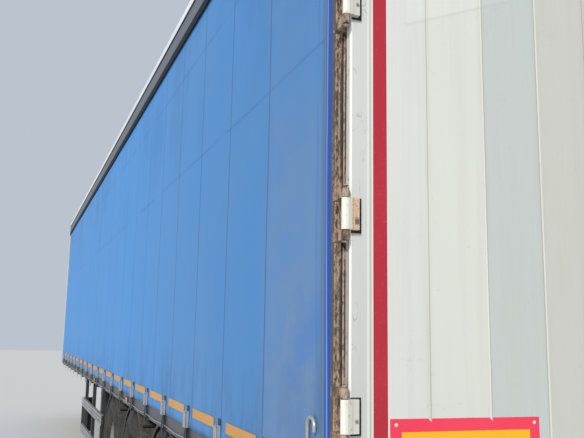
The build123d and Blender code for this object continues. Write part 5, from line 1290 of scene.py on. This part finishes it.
class TRAILER_OT_hem(bpy.types.Operator):
    """Adds tape, buckle levers, strap tails and the customs line along the cloth's hem"""

    bl_idname = "trailer.hem"
    bl_label = "Hem fittings"

    tape_proud = 0.0014
    tape_thick = 0.0012
    tail_width = 0.042
    tail_thick = 0.0022
    tail_above = 0.01
    tail_drop = 0.155
    tail_bulge = 0.006
    tail_curl = 2.4
    tail_steps = 9
    line_radius = 0.0028
    line_proud = 0.0125
    line_above = 0.035
    line_sag = 0.012
    line_bend = 0.05
    lever_width = 0.050
    lever_wall = 0.0025
    lever_edge = 0.006
    lever_lip = 0.008
    lever_side = 0.009
    lever_gap = 0.004
    finger_slot = (0.30, 0.62)

    def tail(self):
        """Webbing tail: out of the buckle and down, with a lazy curl; faces +Y."""
        places = []
        for index in range(self.tail_steps + 1):
            share = index / self.tail_steps
            out = self.tail_bulge * (1 + math.sin(share * math.pi))
            drop = self.tail_above - self.tail_drop * share
            lean = self.tail_bulge * math.sin(share * self.tail_curl)
            for thick in (0.0, self.tail_thick):
                for half in (-0.5, 0.5):
                    places.append((half * self.tail_width + lean, out + thick, drop))
        faces = []
        for index in range(self.tail_steps):
            corner = index * 4
            for first, second in ((0, 1), (1, 3), (3, 2), (2, 0)):
                faces.append((corner + first, corner + second, corner + second + 4, corner + first + 4))
        last = self.tail_steps * 4
        faces += [(0, 1, 3, 2), (last, last + 2, last + 3, last + 1)]
        return shell("tail", places, faces)

    def lever(self, top):
        """Pressed over-centre lever with turned-up sides and a finger slot; faces +Y."""
        half = self.lever_width / 2
        wall = self.lever_wall
        edge = self.lever_edge
        side = self.lever_side
        slot_low, slot_high = (top * share for share in self.finger_slot)
        boxes = [
            ((-half, 0.0, 0.0), (half, wall, slot_low)),
            ((-half, 0.0, slot_high), (half, wall, top)),
            ((-half, 0.0, slot_low), (-half + side, wall, slot_high)),
            ((half - side, 0.0, slot_low), (half, wall, slot_high)),
            ((-half, 0.0, 0.0), (-half + wall, edge, top)),
            ((half - wall, 0.0, 0.0), (half, edge, top)),
            ((-half, wall, top - edge), (half, self.lever_lip, top)),
        ]
        return blocks_mesh("lever", boxes, bevel=0.0006)

    def execute(self, context):
        settings = context.scene.trailer_curtains
        amber = tape_paint("Amber tape", (0.62, 0.27, 0.02), (0.74, 0.44, 0.10), vertical=False)
        low, high = BUCKLES[0]
        level = RAVE_LOW.z + self.line_above
        for side, sign in SIDES:
            row(
                f"hem_tape_{side}",
                len(STRAPS) - 1,
                (STRAP_STATIONS[0] + STRAP_PITCH / 2, sign * (CURTAIN_HIGH.y + self.tape_proud), high.z),
                (STRAP_PITCH, 0, 0),
                (settings.tape_length, self.tape_thick, settings.tape_height),
                "curtain_cloth",
                material=amber,
            )
            lever = self.lever(high.z - low.z - self.lever_gap)
            for name, template, out, slot in (
                ("buckle_levers", lever, high.y, "buckle_steel"),
                ("strap_tails", self.tail(), STRAPS[0][1].y, "strap_webbing"),
            ):
                spots = [((x, sign * out, low.z), (0, sign, 0)) for x in STRAP_STATIONS]
                copies(f"{name}_{side}", template, spots, slot)
            line = []
            for x in STRAP_STATIONS:
                y = sign * (RAVE_HIGH.y + self.line_proud)
                line += [(x, y, level), (x + STRAP_PITCH / 2, y, level - self.line_sag)]
            name = f"customs_line_{side}"
            tube(name, [line[:-1]], self.line_radius, self.line_bend, "buckle_steel", sides=6)
        return {"FINISHED"}


class TRAILER_OT_doors(bpy.types.Operator):
    """Puts tape, markings, rivets and seals on the doors"""

    bl_idname = "trailer.doors"
    bl_label = "Door faces"

    film = 0.0006
    margin = 0.0028
    nick = 0.012
    nick_steep = 0.001
    nick_far = 0.003
    tilt = 0.0105
    tape_end = 0.265
    tape_clear = 0.012
    edging_out = 0.0004
    tape_out = 0.0007
    field_out = 0.0008
    rivet_inset = 0.021
    rivet_drop = 0.018
    seal_half = 0.0014
    seal_gap = 0.0015
    seal_depth = (0.004, 0.020)
    seal_clear = 0.01

    def tape(self, name, settings, grow, out, side, sign, material):
        """The outline tape, grown by a margin: up the hinged side, then along the top."""
        near = settings.tape_inboard
        width = settings.tape_width
        low, high = DOOR_BOTTOM + self.tape_clear, DOOR_TOP - self.tape_clear
        end = DOOR_EDGE - self.tape_end
        boxes = []
        for start, stop, bottom in (
            (near - grow, near + width + grow, low - grow),
            (near + width + grow, end + grow, high - width - grow),
        ):
            y = sorted((sign * (DOOR_EDGE - start), sign * (DOOR_EDGE - stop)))
            boxes.append(((DOOR_FACE - out, y[0], bottom), (DOOR_FACE - out + self.film, y[1], high + grow)))
        blocks(f"{name}_{side}", boxes, "door_paint", f"door_{side}", material)

    def marking(self, name, settings, inset, out, side, sign, material):
        """A rear marking's sheet; the one beneath is torn a little at the joints of the planks."""
        near = settings.plate_inboard + inset
        far = settings.plate_inboard + settings.plate_width - inset
        top = settings.plate_top - inset
        low = settings.plate_top - settings.plate_height + inset

        def place(inboard, up, thick):
            turned = up - (inboard - settings.plate_inboard) * self.tilt
            return DOOR_FACE - out - thick, sign * (DOOR_EDGE - inboard), turned

        outline = [(near, low), (near, top)]
        if inset == 0.0:
            for joint in PLANK_JOINTS[1:3]:
                deep = (joint + self.nick_steep, top - self.nick)
                outline += [(joint - self.nick, top), deep, (joint + self.nick_far, top)]
        outline += [(far, top), (far, low)]
        name = f"{name}_{side}"
        settle(name, plate_mesh(name, outline, self.film, place), "door_paint", f"door_{side}", material)

    def execute(self, context):
        settings = context.scene.trailer_doors
        red = tape_paint("Red tape", tuple(settings.tape_colour), (0.60, 0.05, 0.07), cell=0.0034)
        edging = tape_paint("Tape edging", (0.78, 0.77, 0.71), (0.60, 0.58, 0.52))
        border = tape_paint("Marking red", (0.86, 0.035, 0.085), (0.92, 0.09, 0.14), vertical=False)
        field = tape_paint("Marking yellow", (0.89, 0.455, 0.003), (0.92, 0.52, 0.012), vertical=False)
        white = worn_paint("Rivet white", (0.8, 0.79, 0.74), dust=0.2)
        for side, sign in SIDES:
            self.tape("tape_edging", settings, self.margin, self.edging_out, side, sign, edging)
            self.tape("outline_tape", settings, 0.0, self.tape_out, side, sign, red)
            self.marking("marking_border", settings, 0.0, self.edging_out, side, sign, border)
            self.marking("marking_field", settings, settings.plate_border, self.field_out, side, sign, field)
            spots = []
            for inset in (self.rivet_inset, settings.plate_width - self.rivet_inset):
                for drop in (self.rivet_drop, settings.plate_height - self.rivet_drop):
                    y = sign * (DOOR_EDGE - (settings.plate_inboard + inset))
                    level = settings.plate_top - drop - inset * self.tilt
                    spots.append(((DOOR_FACE - self.field_out, y, level), (-1, 0, 0)))
            heads("marking_rivets", spots, "door_paint", f"door_{side}", white, f"_{side}")
            meet = sign * (DOOR_MEET - self.seal_gap)
            near, far = (DOOR_FACE + depth for depth in self.seal_depth)
            low = (near, meet - self.seal_half, DOOR_BOTTOM + self.seal_clear)
            high = (far, meet + self.seal_half, DOOR_TOP - self.seal_clear)
            blocks(f"door_seal_{side}", [(low, high)], "black_rubber", f"door_{side}")
        return {"FINISHED"}


class TRAILER_OT_hinge_gear(bpy.types.Operator):
    """Adds bolts, pin heads and dark sheets of painted shadow beside and under the hinges"""

    bl_idname = "trailer.hinge_gear"
    bl_label = "Hinge gear"

    leaf_out = 0.020
    bolt_inset = 0.0085
    bolt_height = 0.036
    shadow_beyond = 0.0155
    shadow_reach = 0.02
    shadow_thick = 0.0012
    shadow_below = 0.008
    shadow_above = 0.004
    pin_inset = 0.012

    def execute(self, context):
        grey = worn_paint("Pin steel", (0.47, 0.41, 0.37), rough=0.5, rust=0.5, metal=0.3)
        shadow = worn_paint("Hinge shadow sheet", (0.014, 0.012, 0.011), rough=0.7, dust=0.1)
        steel = worn_paint("Hinge bolt", (0.36, 0.32, 0.28), rough=0.5, rust=0.6, metal=0.3)
        for side, sign in SIDES:
            bolts = []
            shadow_sheets = []
            pins = []
            for low, high in HINGES:
                y = sign * (low.y + self.bolt_inset)
                bolts.append(((DOOR_FACE - self.leaf_out, y, low.z + self.bolt_height), (-1, 0, 0)))
                # A dark sheet on the door face beside and under each leaf: painted shadow of the leaf
                near, far = sorted((sign * (low.y - self.shadow_beyond), sign * (low.y + self.shadow_reach)))
                foot = (DOOR_FACE - self.shadow_thick, near, low.z - self.shadow_below)
                shadow_sheets.append((foot, (DOOR_FACE, far, high.z + self.shadow_above)))
            for low, high in LUGS:
                x = low.x + self.pin_inset
                y = sign * (high.y - self.pin_inset)
                pins += [((x, y, high.z), (0, 0, 1)), ((x, y, low.z), (0, 0, -1))]
            blocks(f"hinge_seats_{side}", shadow_sheets, "hinge_paint", f"door_{side}", shadow)
            heads("hinge_bolts", bolts, "hinge_paint", f"door_{side}", steel, f"_{side}")
            heads("hinge_pins", pins, "bare_steel", material=grey, where=f"_{side}")
        return {"FINISHED"}


class TRAILER_OT_tyres(bpy.types.Operator):
    """Makes the tyres: grooved tread, shoulder blocks and ringed walls"""

    bl_idname = "trailer.tyres"
    bl_label = "Tyres"

    ribs = 5
    crown_drop = 0.003
    wall_rings = (0.30, 0.62, 0.82)
    shoulder = 0.034
    shoulder_inset = 0.012
    tread_inset = 0.040
    block_cut = 0.0075
    bead_gap = 0.002

    def profile(self, radius, half, bead, settings):
        """Half of the section as (radius, across, is shoulder), from the middle to the bead."""
        tread_half = half - self.tread_inset
        pitch = 2 * tread_half / self.ribs
        groove = settings.groove_width / 2
        points = [(radius, 0.0, False)]
        for index in range(self.ribs // 2):
            middle = pitch * (index + 0.5)
            crown = radius - self.crown_drop * (middle / tread_half) ** 2
            floor = crown - settings.groove_depth
            points += [
                (crown, middle - groove, False),
                (floor, middle - groove * 0.6, False),
                (floor, middle + groove * 0.6, False),
                (crown, middle + groove, False),
            ]
        points.append((radius - 0.004, tread_half, True))
        points.append((radius - 0.012, tread_half + 0.018, True))
        points.append((radius - self.shoulder, half - self.shoulder_inset, True))
        for share in self.wall_rings:
            bulge = math.sin(math.pi * min(1.0, share * 1.15))
            across = half - self.shoulder_inset + self.shoulder_inset * bulge
            proud = min(half, across + 0.002)
            level = radius - self.shoulder - (radius - self.shoulder - bead) * share
            points += [
                (level + 0.004, across, False),
                (level + 0.002, proud, False),
                (level - 0.002, proud, False),
                (level - 0.004, across, False),
            ]
        points.append((bead + 0.012, half - 0.026, False))
        points.append((bead, half - self.tread_inset, False))
        return points

    def tyre(self, low, high, settings):
        centre = (low + high) / 2
        radius = (high.z - low.z) / 2
        half = (high.y - low.y) / 2
        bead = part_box("rim_front_left")[1].z - centre.z
        right = self.profile(radius, half, bead + self.bead_gap, settings)
        outline = [(r, -across, shoulder) for r, across, shoulder in reversed(right[1:])] + right
        sections = []
        for step, angle in enumerate(turns(settings.steps)):
            cut = self.block_cut if step % 4 == 3 else 0.0
            section = []
            for r, across, shoulder in outline:
                reach = r - (cut if shoulder else 0.0)
                x = centre.x + reach * math.cos(angle)
                section.append((x, centre.y + across, centre.z + reach * math.sin(angle)))
            sections.append(section)
        return ring_mesh("tyre", sections)

    def execute(self, context):
        for wheel, _ in WHEELS:
            node = f"tyre_{wheel}"
            settle(
                f"treaded_{node}",
                self.tyre(*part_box(node), context.scene.trailer_wheels),
                "tyre_rubber",
                f"wheel_{wheel}",
                FINISHES["tyre_rubber"],
                replaces=[node],
            )
        return {"FINISHED"}


class TRAILER_OT_wheel_trim(bpy.types.Operator):
    """Adds nuts, studs and hub bolts to each wheel"""

    bl_idname = "trailer.wheel_trim"
    bl_label = "Wheel trim"

    nut_sunk = 0.044
    stud_sunk = 0.020
    hub_circle = 0.055
    hub_bolts = 8

    def execute(self, context):
        settings = context.scene.trailer_wheels
        steel = worn_paint("Nut steel", (0.30, 0.29, 0.27), rough=0.45, rust=0.8, metal=0.4)
        kinds = (
            ("wheel_nuts", settings.nut_circle, turns(settings.nuts, 0.5), self.nut_sunk),
            ("wheel_studs", settings.nut_circle, turns(settings.nuts, 0.5), self.stud_sunk),
            ("hub_bolts", self.hub_circle, turns(self.hub_bolts), 0.0),
        )
        for wheel, sign in WHEELS:
            low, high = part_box(f"tyre_{wheel}")
            centre = (low + high) / 2
            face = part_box(f"rim_{wheel}")[1 if sign > 0 else 0].y
            for kind, radius, angles, sunk in kinds:
                spots = []
                for angle in angles:
                    x = centre.x + radius * math.cos(angle)
                    z = centre.z + radius * math.sin(angle)
                    spots.append(((x, face - sign * sunk, z), (0, sign, 0)))
                heads(kind, spots, "rim_paint", f"wheel_{wheel}", steel, f"_{wheel}")
        return {"FINISHED"}


class TRAILER_OT_roof(bpy.types.Operator):
    """Adds the gutter strip, partly painted shade, the trim and the rivets along the roof's edges"""

    bl_idname = "trailer.roof"
    bl_label = "Roof edge"

    skirt = (3.722, 3.779)
    lip = (3.887, 3.908)
    trim = (3.910, 3.958)
    thick = 0.0015
    margin = 0.002
    rivet_pitch = 0.16
    rivet_drop = 0.028

    def strip(self, sign, span, thick):
        """A strip along the rail's outer face, as lowest and highest corner."""
        out = sign * RAIL_HIGH.y
        near, far = sorted((out, out + sign * thick))
        return (RAIL_LOW.x + self.margin, near, span[0]), (RAIL_HIGH.x - self.margin, far, span[1])

    def execute(self, context):
        black = worn_paint("Gutter rubber and shade", (0.004, 0.006, 0.010), rough=0.9, dust=0.03)
        white = worn_paint("Roof trim", (0.92, 0.93, 0.93), rough=0.4, dust=0.12)
        level = self.lip[0] - self.rivet_drop
        count = int((RAIL_HIGH.x - RAIL_LOW.x) / self.rivet_pitch)
        for side, sign in SIDES:
            # Rubber strips on the rail's face; their near-black colour is also painted shade along the rail
            strips = [self.strip(sign, span, self.thick) for span in (self.skirt, self.lip)]
            blocks(f"gutter_strip_{side}", strips, "black_rubber", material=black)
            strips = [self.strip(sign, self.trim, self.thick * 2)]
            blocks(f"roof_trim_{side}", strips, "roof_sheet", material=white, bevel=0.0008)
            spots = []
            for step in range(count):
                x = RAIL_LOW.x + self.rivet_pitch * (step + 0.5)
                spots.append(((x, sign * RAIL_HIGH.y, level), (0, sign, 0)))
            heads("rail_rivets", spots, "rail_aluminium", where=f"_{side}")
        return {"FINISHED"}


class TRAILER_OT_lock_gear(bpy.types.Operator):
    """Bolts the rods' guides to the doors and adds the handles' catches"""

    bl_idname = "trailer.lock_gear"
    bl_label = "Lock gear"

    rod_from_middle = 0.170
    bolt_spread = 0.040
    guide_out = 0.014
    guide_inset = 0.155
    guide_count = 4
    catch_levels = (1.452, 1.872)
    catch_height = 0.020
    catch_half = 0.030
    catch_out = 0.022
    catch_gap = 0.002

    def execute(self, context):
        steel = worn_paint("Lock bolt", (0.42, 0.41, 0.38), rough=0.4, rust=0.7, metal=0.5)
        first = DOOR_BOTTOM + self.guide_inset
        step = (DOOR_TOP - self.guide_inset - first) / (self.guide_count - 1)
        for side, sign in SIDES:
            rod = sign * self.rod_from_middle
            bolts = [
                ((DOOR_FACE - self.guide_out, rod + spread, first + step * index), (-1, 0, 0))
                for index in range(self.guide_count)
                for spread in (-self.bolt_spread, self.bolt_spread)
            ]
            heads("guide_bolts", bolts, "lock_steel", f"door_{side}", steel, f"_{side}")
            catches = []
            for level in self.catch_levels:
                low = (DOOR_FACE - self.catch_out, rod - self.catch_half, level)
                high = (DOOR_FACE - self.catch_gap, rod + self.catch_half, level + self.catch_height)
                catches.append((low, high))
            blocks(f"handle_catches_{side}", catches, "lock_steel", f"door_{side}", bevel=0.004)
        return {"FINISHED"}


class TRAILER_OT_tail_gear(bpy.types.Operator):
    """Puts rims and screws on the rear lamps, reflectors on their beam and bolts on the underrun bar"""

    bl_idname = "trailer.tail_gear"
    bl_label = "Tail gear"

    rim = 0.003
    rim_proud = 0.0015
    rim_sunk = 0.001
    screw_inset = 0.013
    reflector_y = 0.49
    reflector_side = 0.142
    reflector_thick = 0.003
    housing_side = 0.156
    housing_thick = 0.005
    bracket_y = 0.650
    bolt_spread = 0.022
    bolt_levels = (0.030, 0.090)

    def triangle(self, name, beam, y, side, thickness, out, material):
        """An upright triangle of equal sides on the beam's rear face."""
        low, high = beam
        tall = side * math.sqrt(3) / 2
        level = (low.z + high.z) / 2 - tall / 6
        outline = [(-side / 2, -tall / 3), (side / 2, -tall / 3), (0.0, 2 * tall / 3)]

        def place(across, up, thick):
            return low.x - out - thick, y + across, level + up

        settle(name, plate_mesh(name, outline, thickness, place), "lamp_lens", material=material)

    def execute(self, context):
        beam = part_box("lamp_beam")
        red = reflector_paint()
        black = FINISHES["black_plastic"]
        bars = []
        screws = []
        for low, high in solid_boxes("rear_lamps"):
            bars += rim_boxes(low, high, self.rim, 1, (low.x - self.rim_proud, beam[0].x + self.rim_sunk))
            inset = self.screw_inset
            screws.append(((low.x, low.y + inset, low.z + inset), (-1, 0, 0)))
            screws.append(((low.x, high.y - inset, high.z - inset), (-1, 0, 0)))
        blocks("lamp_rims", bars, "black_plastic")
        heads("lamp_screws", screws, "buckle_steel")
        for side, sign in SIDES:
            y = sign * self.reflector_y
            thick = self.housing_thick
            self.triangle(f"reflector_housing_{side}", beam, y, self.housing_side, thick, 0.0, black)
            self.triangle(f"reflector_{side}", beam, y, self.reflector_side, self.reflector_thick, thick, red)
        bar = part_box("underrun_bar")[0]
        bolts = [
            ((bar.x, sign * self.bracket_y + spread, bar.z + level), (-1, 0, 0))
            for _, sign in SIDES
            for spread in (-self.bolt_spread, self.bolt_spread)
            for level in self.bolt_levels
        ]
        heads("underrun_bolts", bolts, "bare_steel", material=FINISHES["bolts"])
        return {"FINISHED"}


class TRAILER_OT_side_gear(bpy.types.Operator):
    """Puts rims on the side markers, bolts and end caps on the guards, and bands and pins on the legs"""

    bl_idname = "trailer.side_gear"
    bl_label = "Side gear"

    rim = 0.004
    rim_drop = 0.002
    marker_out = 0.012
    post_width = 0.05
    cap = 0.006
    collar = 0.005
    collar_levels = ((0.470, 0.500), (0.760, 0.785))
    leg_middle = 0.796
    leg_half = 0.065
    inner_half = 0.052
    foot_pin_level = 0.044
    case_face = 0.921
    case_spread = 0.045
    case_rises = (-0.110, -0.020)

    @staticmethod
    def outside(low, high):
        """Side of a box on the trailer and the y of its outer face."""
        return (1, high.y) if low.y > 0 else (-1, low.y)

    def execute(self, context):
        bars = []
        for low, high in solid_boxes("side_markers"):
            sign, face = self.outside(low, high)
            depth = sorted((face - sign * self.rim_drop, face - sign * self.marker_out))
            bars += rim_boxes(low, high, self.rim, 0, depth)
        blocks("marker_rims", bars, "black_rubber")
        posts = [box for box in left_boxes("side_guard_posts") if box[1].x - box[0].x > self.post_width]
        bolts = []
        caps = []
        for low, high in solid_boxes("side_guards"):
            sign, face = self.outside(low, high)
            for post_low, post_high in posts:
                place = ((post_low.x + post_high.x) / 2, face, (low.z + high.z) / 2)
                bolts.append((place, (0, sign, 0)))
            caps.append(((low.x - self.cap, low.y, low.z), (low.x, high.y, high.z)))
        heads("guard_bolts", bolts, "buckle_steel")
        blocks("guard_caps", caps, "black_plastic", bevel=0.0015)
        crank_low, crank_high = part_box("landing_crank")
        leg_x = (crank_low.x + crank_high.x) / 2
        collars = []
        pins = []
        for _, sign in SIDES:
            y = sign * self.leg_middle
            for low, high in self.collar_levels:
                collars += collar_boxes((leg_x, y), self.leg_half, self.collar, low, high)
            for facing in (-1, 1):
                pins.append(((leg_x + facing * self.inner_half, y, self.foot_pin_level), (facing, 0, 0)))
        blocks("leg_collars", collars, "leg_paint", bevel=0.0012)
        heads("foot_pins", pins, "bare_steel", material=FINISHES["bolts"])
        corners = [
            ((leg_x + along, -self.case_face, crank_high.z + rise), (0, -1, 0))
            for along in (-self.case_spread, self.case_spread)
            for rise in self.case_rises
        ]
        heads("gear_case_bolts", corners, "buckle_steel")
        return {"FINISHED"}


class TRAILER_OT_undergear(bpy.types.Operator):
    """Clamps the axles to their arms with U-bolts and straps the air tanks"""

    bl_idname = "trailer.undergear"
    bl_label = "Under gear"

    arm_y = 0.650
    arm_half = 0.052
    along = 0.070
    arm_top = 0.664
    beam_half = 0.060
    plate_half = (0.092, 0.072)
    plate_thick = 0.014
    rod = 0.009
    rod_bend = 0.018
    rod_end = 0.030
    strap_places = (0.0825, 0.5025)
    strap_half = 0.0175
    strap_sunk = 0.001
    strap_thick = 0.003
    drain_at = 0.38

    def execute(self, context):
        lines = []
        plates = []
        nuts = []
        for wheel, sign in WHEELS:
            low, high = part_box(f"tyre_{wheel}")
            centre = (low + high) / 2
            bottom = centre.z - self.beam_half
            end = bottom - self.rod_end
            y = sign * self.arm_y
            plates.append(slab((centre.x, y), self.plate_half, bottom - self.plate_thick, bottom))
            for along in (-self.along, self.along):
                x = centre.x + along
                near, far = y - self.arm_half, y + self.arm_half
                lines.append([(x, near, end), (x, near, self.arm_top), (x, far, self.arm_top), (x, far, end)])
                nuts += [((x, side, bottom - self.plate_thick), (0, 0, -1)) for side in (near, far)]
        tube("axle_bolts", lines, self.rod, self.rod_bend, "bare_steel", material=FINISHES["bolts"])
        blocks("axle_plates", plates, "chassis_paint", bevel=0.003)
        heads("axle_nuts", nuts, "bare_steel", material=FINISHES["bolts"])
        steel = FINISHES["buckle_steel"]
        drains = []
        for number, (low, high) in enumerate(solid_boxes("air_tanks")):
            radius = (high.y - low.y) / 2
            y = (low.y + high.y) / 2
            for place, offset in enumerate(self.strap_places):
                name = f"tank_strap_{number}_{place}"
                centre = (low.x + offset, y, low.z + radius)
                outer = radius + self.strap_thick
                mesh = band_mesh(name, centre, radius - self.strap_sunk, outer, self.strap_half)
                settle(name, mesh, "buckle_steel", material=steel)
            drains.append(((low.x + self.drain_at, y, low.z), (0, 0, -1)))
        heads("tank_drains", drains, "buckle_steel")
        return {"FINISHED"}


class TRAILER_OT_load_space(bpy.types.Operator):
    """Sets lashing rings along the floor's edges and screws over its crossmembers"""

    bl_idname = "trailer.load_space"
    bl_label = "Load space"

    ring_inset = 0.075
    ring_pitch = 1.2
    ring_half = (0.042, 0.024)
    ring_bar = 0.006
    ring_bend = 0.012
    pan_half = (0.062, 0.040)
    pan_thick = 0.0016
    screw_rows = 7
    screw_inset = 0.16
    screw_clear = 0.02

    def execute(self, context):
        top = DECK_HIGH.z
        level = top + self.pan_thick + self.ring_bar
        wide, deep = self.ring_half
        ends = [(-wide, deep), (-wide, -deep), (wide, -deep), (wide, deep), (self.ring_bar - wide, deep)]
        rings = []
        pans = []
        for _, sign in SIDES:
            y = sign * (DECK_HIGH.y - self.ring_inset)
            for step in range(int((DECK_HIGH.x - DECK_LOW.x) / self.ring_pitch)):
                x = DECK_LOW.x + self.ring_pitch * (step + 0.5)
                pans.append(slab((x, y), self.pan_half, top, top + self.pan_thick))
                rings.append([(x + along, y + across, level) for along, across in ends])
        tube("lashing_rings", rings, self.ring_bar, self.ring_bend, "buckle_steel", sides=8)
        blocks("lashing_pans", pans, "buckle_steel")
        stations = sorted({round((low.x + high.x) / 2, 3) for low, high in solid_boxes("crossmembers")})
        reach = DECK_HIGH.y - self.screw_inset
        spots = [
            ((x, -reach + 2 * reach * place / (self.screw_rows - 1), top), (0, 0, 1))
            for x in stations
            if DECK_LOW.x + self.screw_clear < x < DECK_HIGH.x - self.screw_clear
            for place in range(self.screw_rows)
        ]
        heads("floor_screws", spots, "buckle_steel")
        return {"FINISHED"}


class TRAILER_OT_couplings(bpy.types.Operator):
    """Caps the couplings in the front wall's recess"""

    bl_idname = "trailer.couplings"
    bl_label = "Couplings"

    pitch = 0.140
    below_face = 0.004
    level = 1.225
    colours = {
        "red": (0.45, 0.02, 0.02),
        "black": (0.02, 0.02, 0.022),
        "dark": (0.028, 0.028, 0.03),
        "yellow": (0.72, 0.42, 0.02),
    }

    def execute(self, context):
        first = -self.pitch * (len(self.colours) - 1) / 2
        for number, (name, colour) in enumerate(self.colours.items()):
            spot = (WALL_FRONT - self.below_face, first + self.pitch * number, self.level)
            cap = worn_paint(f"Coupling cap {name}", colour, rough=0.5, dust=0.4)
            heads("coupling_cap", [(spot, (1, 0, 0))], "black_plastic", material=cap, where=f"_{name}")
        return {"FINISHED"}


class TRAILER_OT_stage(bpy.types.Operator):
    """Sets the floor, the light and the camera"""

    bl_idname = "trailer.stage"
    bl_label = "Stage"

    eye = (-8.730, 2.198, 1.708)
    heading = 21.1046
    rise = 9.3652
    roll = 0.9914
    sensor_width = 36.0
    clip = (0.05, 400.0)
    key_heading = (0.62, -0.52, -0.46)
    key_colour = (1.0, 0.97, 0.92)
    sky_colour = (0.80, 0.88, 1.0, 1.0)
    floor_half = 60.0

    def camera(self, scene, settings):
        data = bpy.data.cameras.new("Camera")
        data.lens = settings.lens
        data.sensor_width = self.sensor_width
        data.clip_start, data.clip_end = self.clip
        turn, lift, lean = (math.radians(angle) for angle in (self.heading, self.rise, self.roll))
        view = Vector((math.cos(lift) * math.cos(turn), -math.cos(lift) * math.sin(turn), math.sin(lift)))
        level = Vector((-math.sin(turn), -math.cos(turn), 0.0))
        upright = level.cross(view)
        right = level * math.cos(lean) + upright * math.sin(lean)
        up = upright * math.cos(lean) - level * math.sin(lean)
        columns = Matrix((right, up, -view)).transposed()
        scene.camera = add_object("Camera", data)
        scene.camera.matrix_world = Matrix.Translation(self.eye) @ columns.to_4x4()

    def execute(self, context):
        scene = context.scene
        settings = scene.trailer_stage
        half = self.floor_half
        ends = [(-half, -half, 0), (half, -half, 0), (half, half, 0), (-half, half, 0)]
        floor = add_object("floor", mesh_from("floor", ends, [(0, 1, 2, 3)]))
        floor.data.materials.append(floor_paint(settings))
        floor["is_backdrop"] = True
        sun = bpy.data.lights.new("Key", "SUN")
        sun.energy = settings.key_strength
        sun.angle = settings.key_angle
        sun.color = self.key_colour
        key = add_object("Key", sun)
        key.rotation_euler = Vector(self.key_heading).to_track_quat("-Z", "Y").to_euler()
        world = bpy.data.worlds.new("Studio")
        world.use_nodes = True
        backdrop = world.node_tree.nodes["Background"]
        backdrop.inputs["Color"].default_value = self.sky_colour
        backdrop.inputs["Strength"].default_value = settings.sky_strength
        scene.world = world
        scene.view_settings.view_transform = "Standard"
        self.camera(scene, settings)
        return {"FINISHED"}


# The panel, and what registers and runs it all


OPERATORS = (
    TRAILER_OT_finishes,
    TRAILER_OT_curtains,
    TRAILER_OT_hem,
    TRAILER_OT_doors,
    TRAILER_OT_hinge_gear,
    TRAILER_OT_roof,
    TRAILER_OT_tyres,
    TRAILER_OT_wheel_trim,
    TRAILER_OT_lock_gear,
    TRAILER_OT_tail_gear,
    TRAILER_OT_side_gear,
    TRAILER_OT_undergear,
    TRAILER_OT_load_space,
    TRAILER_OT_couplings,
    TRAILER_OT_stage,
)


class TRAILER_PT_panel(bpy.types.Panel):
    """Lists the trailer's operators."""

    bl_idname = "TRAILER_PT_panel"
    bl_label = "Trailer"
    bl_space_type = "VIEW_3D"
    bl_region_type = "UI"
    bl_category = "Trailer"

    def draw(self, context):
        for operator in OPERATORS:
            self.layout.operator(operator.bl_idname)


def register():
    for name, group in SETTINGS.items():
        bpy.utils.register_class(group)
        setattr(bpy.types.Scene, name, PointerProperty(type=group))
    for operator in OPERATORS:
        bpy.utils.register_class(operator)
    bpy.utils.register_class(TRAILER_PT_panel)


def unregister():
    bpy.utils.unregister_class(TRAILER_PT_panel)
    for operator in reversed(OPERATORS):
        bpy.utils.unregister_class(operator)
    for name, group in SETTINGS.items():
        delattr(bpy.types.Scene, name)
        bpy.utils.unregister_class(group)


def corners(box):
    return [list(corner) for corner in box]


def main():
    register()
    for operator in OPERATORS:
        group, name = operator.bl_idname.split(".")
        getattr(getattr(bpy.ops, group), name)()
    {"cad": corners(CAD_BOX), "visual": corners(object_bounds())}


if __name__ == "__main__":
    main()
